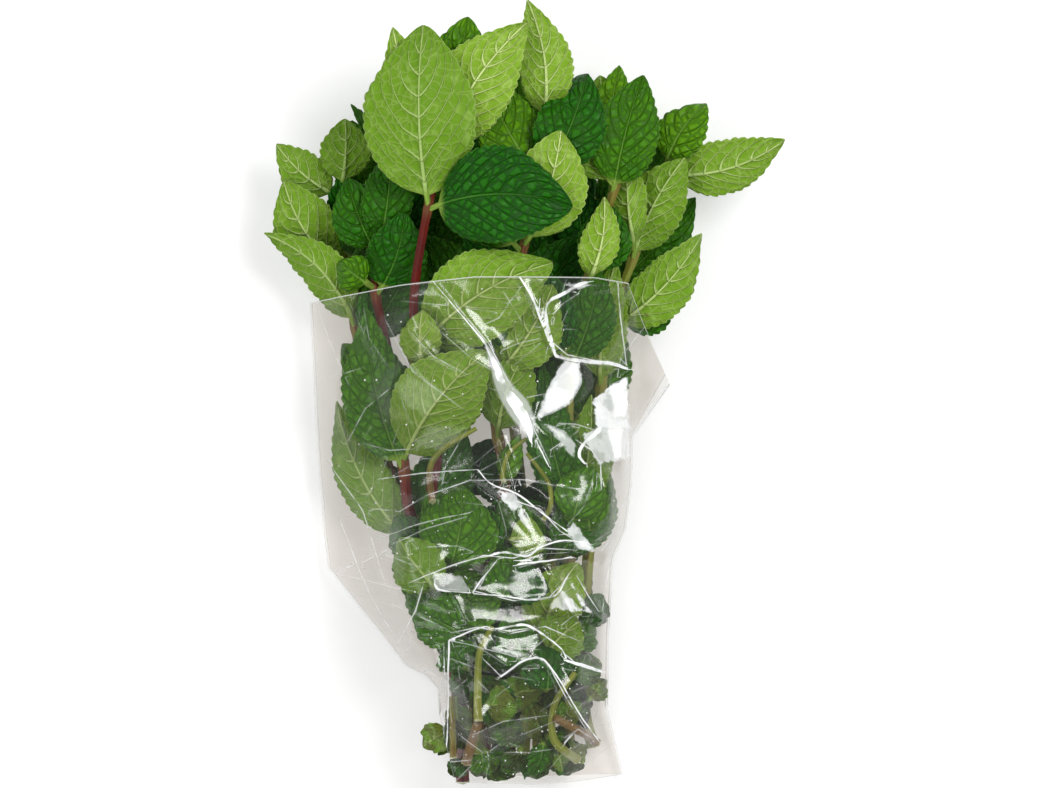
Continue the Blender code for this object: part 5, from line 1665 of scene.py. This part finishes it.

# %% [markdown]
# ## The film finish
# Clear film is seen only by what it reflects: white flashes of the lamps on each crease, a faint haze between
# them, and a little grey where two layers lie one on the other. Glass with its bending of light would be slow and
# too heavy for so thin a sheet, so the light goes straight through, and a mirror is mixed in by the angle. Over
# that, the flashes, the lines along folds and rims, and a faint veil beside the folds are painted highlights: a
# white matte surface is mixed in where the mesh keeps them.

# %% The film finish
FILM_TINT = (0.955, 0.944, 0.932)
FACE_GLOSS, RIM_GLOSS = 0.026, 0.3
HAZE = 0.005
FOLD_HALF = 0.13  # half the width of the painted highlight line along a fold
EDGE_HALF = 0.2
HIGHLIGHT_WHITE = (0.9, 0.92, 0.92)
FOLD_HIGHLIGHT, SEAM_HIGHLIGHT, FLANK_HIGHLIGHT = 0.75, 0.5, 0.4  # how white the painted highlights on folds, rims and wide flashes' flanks are
VEIL_HIGHLIGHT, VEIL_REACH = 0.02, 1.4  # the faint painted sheen beside a fold


def clear_film():
    finish = Finish("clear_film", Metallic=1.0)
    finish.join((0.95, 0.95, 0.95), finish.shader.inputs["Base Color"])
    place = finish.place()
    finish.roughness(0.09 + 0.12 * finish.noise(place, 14.0, 3.0))
    waves = finish.noise(place, 9.0, 3.0) * 0.3 + finish.noise(place, 2.5, 2.0) * 0.03
    finish.relief(waves)
    facing = finish.node("ShaderNodeLayerWeight", None, {"Blend": 0.5}, "Facing")
    gloss = FACE_GLOSS + RIM_GLOSS * facing ** 5 + HAZE * finish.noise(place, 20.0)
    clear = finish.node("ShaderNodeBsdfTransparent", None, {"Color": FILM_TINT})
    mirror = Wire(finish, finish.shader.outputs[0])
    film = finish.node("ShaderNodeMixShader", None, {0: gloss, 1: clear, 2: mirror})
    # Painted highlights: below, the lines along folds, the veil beside them, the rims, the flashes and the facets.
    side, strength, edge = finish.stored("film_fold")
    broken = finish.noise(place, 5.0, 3.0).step(0.3, 0.6)
    line = abs(side).step(FOLD_HALF * 2, FOLD_HALF * 0.5) * strength * broken
    veil_glare = abs(side).step(VEIL_REACH, 0) * strength * VEIL_HIGHLIGHT
    seam_glint = edge.step(EDGE_HALF * 2, EDGE_HALF) * SEAM_HIGHLIGHT
    ragged = finish.noise(place, 2.2, 4.0) - 0.5
    aside, half, bright = finish.stored("film_flash")
    gleam = finish.noise(place, 6.0, 2.0).step(0.28, 0.5) * 0.6 + 0.4
    off = abs(aside + 0.5 * (finish.noise(place, 5.0) - 0.5))
    core = (half * (0.15 + 0.5 * gleam) - off + 0.25 * ragged).step(-0.05, 0.06)
    flank = (half * 1.4 - off).step(0, 1.0) * half.step(0.6, 1.2) * FLANK_HIGHLIGHT
    flash = (core * gleam).math("MAXIMUM", flank) * bright
    outside, patch_glare, _ = finish.stored("film_patch")
    swirl = finish.noise(place, 7.0, 5.0)
    torn = swirl.step(0.4, 0.5) * (0.7 + 0.6 * ragged)
    patch = (outside + 2.5 * ragged).step(0.3, -0.3) * patch_glare * (0.6 + 0.4 * torn)
    glare = line * FOLD_HIGHLIGHT + veil_glare
    for share in (seam_glint, flash, patch):
        glare = glare.math("MAXIMUM", share)
    # the white matte surface that these painted highlights mix in
    white = finish.node("ShaderNodeBsdfPrincipled", None, {"Base Color": HIGHLIGHT_WHITE, "Roughness": 0.4})
    mixed = finish.node("ShaderNodeMixShader", None, {0: glare, 1: film, 2: white})
    finish.join(mixed, finish.tree.nodes["Material Output"].inputs["Surface"])
    return finish.material


film_finish = clear_film()
film = smooth_mesh("sleeve_film", points, quads, [film_finish], **stored)
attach(film, "root")
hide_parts("sleeve")
print(film.name, "is", FILM_WALL, "mm thick")

# %% [markdown]
# ## Dew inside the film
# Fresh mint breathes, and its moisture gathers on the film in fine drops, most of them low in the sleeve. They
# are small and many, so Geometry Nodes strew them over the front with a fixed seed, and each is a plain ball of
# twenty faces: nobody sees more of a drop than its glint. That glint is painted: each ball is pale white.

# %% The drops
DROP_DENSITY = 0.06  # drops to a square millimetre, where there are most
DROP_SIZES = (0.09, 0.36)
DAMP_TO, LEAST_DAMP = 1.15, 0.1  # how far up the sleeve the damp reaches, and the share at its mouth
DEW_SEED = 5


def dew_growth():
    """A growth that strews small balls over a surface, as densely as its attribute says."""
    dew = Growth("dew", Finish="Material", Density="Float", Smallest="Float", Largest="Float", Seed="Int")
    given = dew.given
    share = dew.node("GeometryNodeInputNamedAttribute", {"data_type": "FLOAT"}, {"Name": "dampness"})
    strewn = dew.node("GeometryNodeDistributePointsOnFaces", {"distribute_method": "RANDOM"},
                      {"Mesh": given["Geometry"], "Density": share * given["Density"], "Seed": given["Seed"]})
    ball = dew.node("GeometryNodeMeshIcoSphere", None, {"Radius": 1.0, "Subdivisions": 1})
    size = dew.node("FunctionNodeRandomValue", {"data_type": "FLOAT"},
                    {2: 0.0, 3: 1.0, "Seed": given["Seed"]}, 1) ** 2.5
    size = given["Smallest"] + size * (given["Largest"] - given["Smallest"])
    drops = dew.node("GeometryNodeInstanceOnPoints", None, {"Points": strewn, "Instance": ball, "Scale": size})
    real = dew.node("GeometryNodeRealizeInstances", None, {"Geometry": drops})
    dew.end(dew.node("GeometryNodeSetShadeSmooth", None, {"Geometry": real}))
    return dew


def dew_glint_finish():
    finish = Finish("dew", Roughness=0.12, Specular_IOR_Level=0.8)
    pale = finish.noise(finish.place(), 6.0)
    # painted glint: each drop is white, so that the whole ball reads as a lamp's glint
    finish.colour(finish.blend(pale, (0.7, 0.76, 0.73), (0.95, 0.97, 0.96)))
    return finish.material


columns, rows = FRONT_GRID
inside = np.concatenate([front_xy, front_top.reshape(-1, 1) - FILM_WALL], axis=1)
at = np.arange(rows * columns).reshape(rows, columns)
quads = np.stack([at[:-1, :-1], at[:-1, 1:], at[1:, 1:], at[1:, :-1]], axis=-1).reshape(-1, 4)
guide = smooth_mesh("dew_guide", inside, quads, [])
damp = np.clip(DAMP_TO - front_v.ravel(), LEAST_DAMP, 1) * np.clip(held / 0.2 - 0.2, 0, 1)
keep_on(guide.data, "dampness", damp)
sizes = [size * MM for size in DROP_SIZES]
dew = dew_growth().grow("sleeve_dew", guide, Finish=dew_glint_finish(), Density=DROP_DENSITY / MM**2,
                        Smallest=sizes[0], Largest=sizes[1], Seed=DEW_SEED)
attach(dew, "root")
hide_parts("sleeve")
print(dew.name, "has", len(dew.data.polygons) // 20, "drops")

# %% [markdown]
# ## The light, the floor and the camera
# The bunch is looked at from straight above, through a long lens. A large soft lamp stands to the upper right,
# so that the right flanks of the creases flash. A narrow lamp to the upper left draws lines along their other
# flanks. A weak, wide one opposite the first, the pale floor and a pale surround fill the shadows.

# %% The floor
FLOOR_SIZE = 3000
FLOOR_DROP = 0.05
FLOOR_GLOW = 0.42


def floor_finish():
    finish = Finish("pale_floor", Roughness=0.9)
    finish.colour(finish.blend(finish.noise(finish.place(), 400.0), (0.60, 0.60, 0.60), (0.64, 0.64, 0.64)))
    finish.join((1, 1, 1), finish.shader.inputs["Emission Color"])
    finish.join(FLOOR_GLOW, finish.shader.inputs["Emission Strength"])
    return finish.material


reach = FLOOR_SIZE / 2
corners = np.array([(-reach, -reach, -FLOOR_DROP), (reach, -reach, -FLOOR_DROP), (reach, reach, -FLOOR_DROP),
                    (-reach, reach, -FLOOR_DROP)])
floor = smooth_mesh("floor", corners, np.array([[0, 1, 2, 3]]), [floor_finish()])
print("the floor is", FLOOR_SIZE * MM, "m wide")

# %% Lamps and surround
LAMPS = (
    # name, azimuth and height in degrees, distance, width and depth in millimetres, watts
    ("key", 32, 62, 1100, 520, 340, 7.0),
    ("side strip", 150, 52, 1100, 140, 1000, 2.4),
    ("fill", 225, 50, 1300, 900, 900, 4.5),
)
SURROUND = 0.42


def soft_lamp(name, azimuth, height, distance, width, depth, watts):
    """A soft box that faces the bunch."""
    light = bpy.data.lights.new(name, "AREA")
    light.shape, light.size, light.size_y, light.energy = "RECTANGLE", width * MM, depth * MM, watts
    lamp = placed(name, light)
    azimuth, height = math.radians(azimuth), math.radians(height)
    way = (math.cos(height) * math.cos(azimuth), math.cos(height) * math.sin(azimuth), math.sin(height))
    lamp.location = [distance * MM * k for k in way]
    lamp.rotation_euler = (math.pi / 2 - height, 0, azimuth + math.pi / 2)


for spec in LAMPS:
    soft_lamp(*spec)
world = bpy.data.worlds.new("surround")
world.use_nodes = True
background = world.node_tree.nodes["Background"].inputs
background["Color"].default_value = (1, 1, 1, 1)
background["Strength"].default_value = SURROUND
bpy.context.scene.world = world
bpy.context.scene.view_settings.view_transform = "Standard"
print(len(LAMPS), "lamps and a surround of", SURROUND)

# %% The camera
CAMERA_HEIGHT = 1850
CAMERA_AT = (1.1, 0.3)
LENS = 200

lens = bpy.data.cameras.new("camera")
lens.lens, lens.sensor_width = LENS, 36
lens.clip_start, lens.clip_end = 0.05, 20
camera = placed("camera", lens)
camera.location = [value * MM for value in (*CAMERA_AT, CAMERA_HEIGHT)]
bpy.context.scene.camera = camera
print("the camera is", CAMERA_HEIGHT * MM, "m above the table")
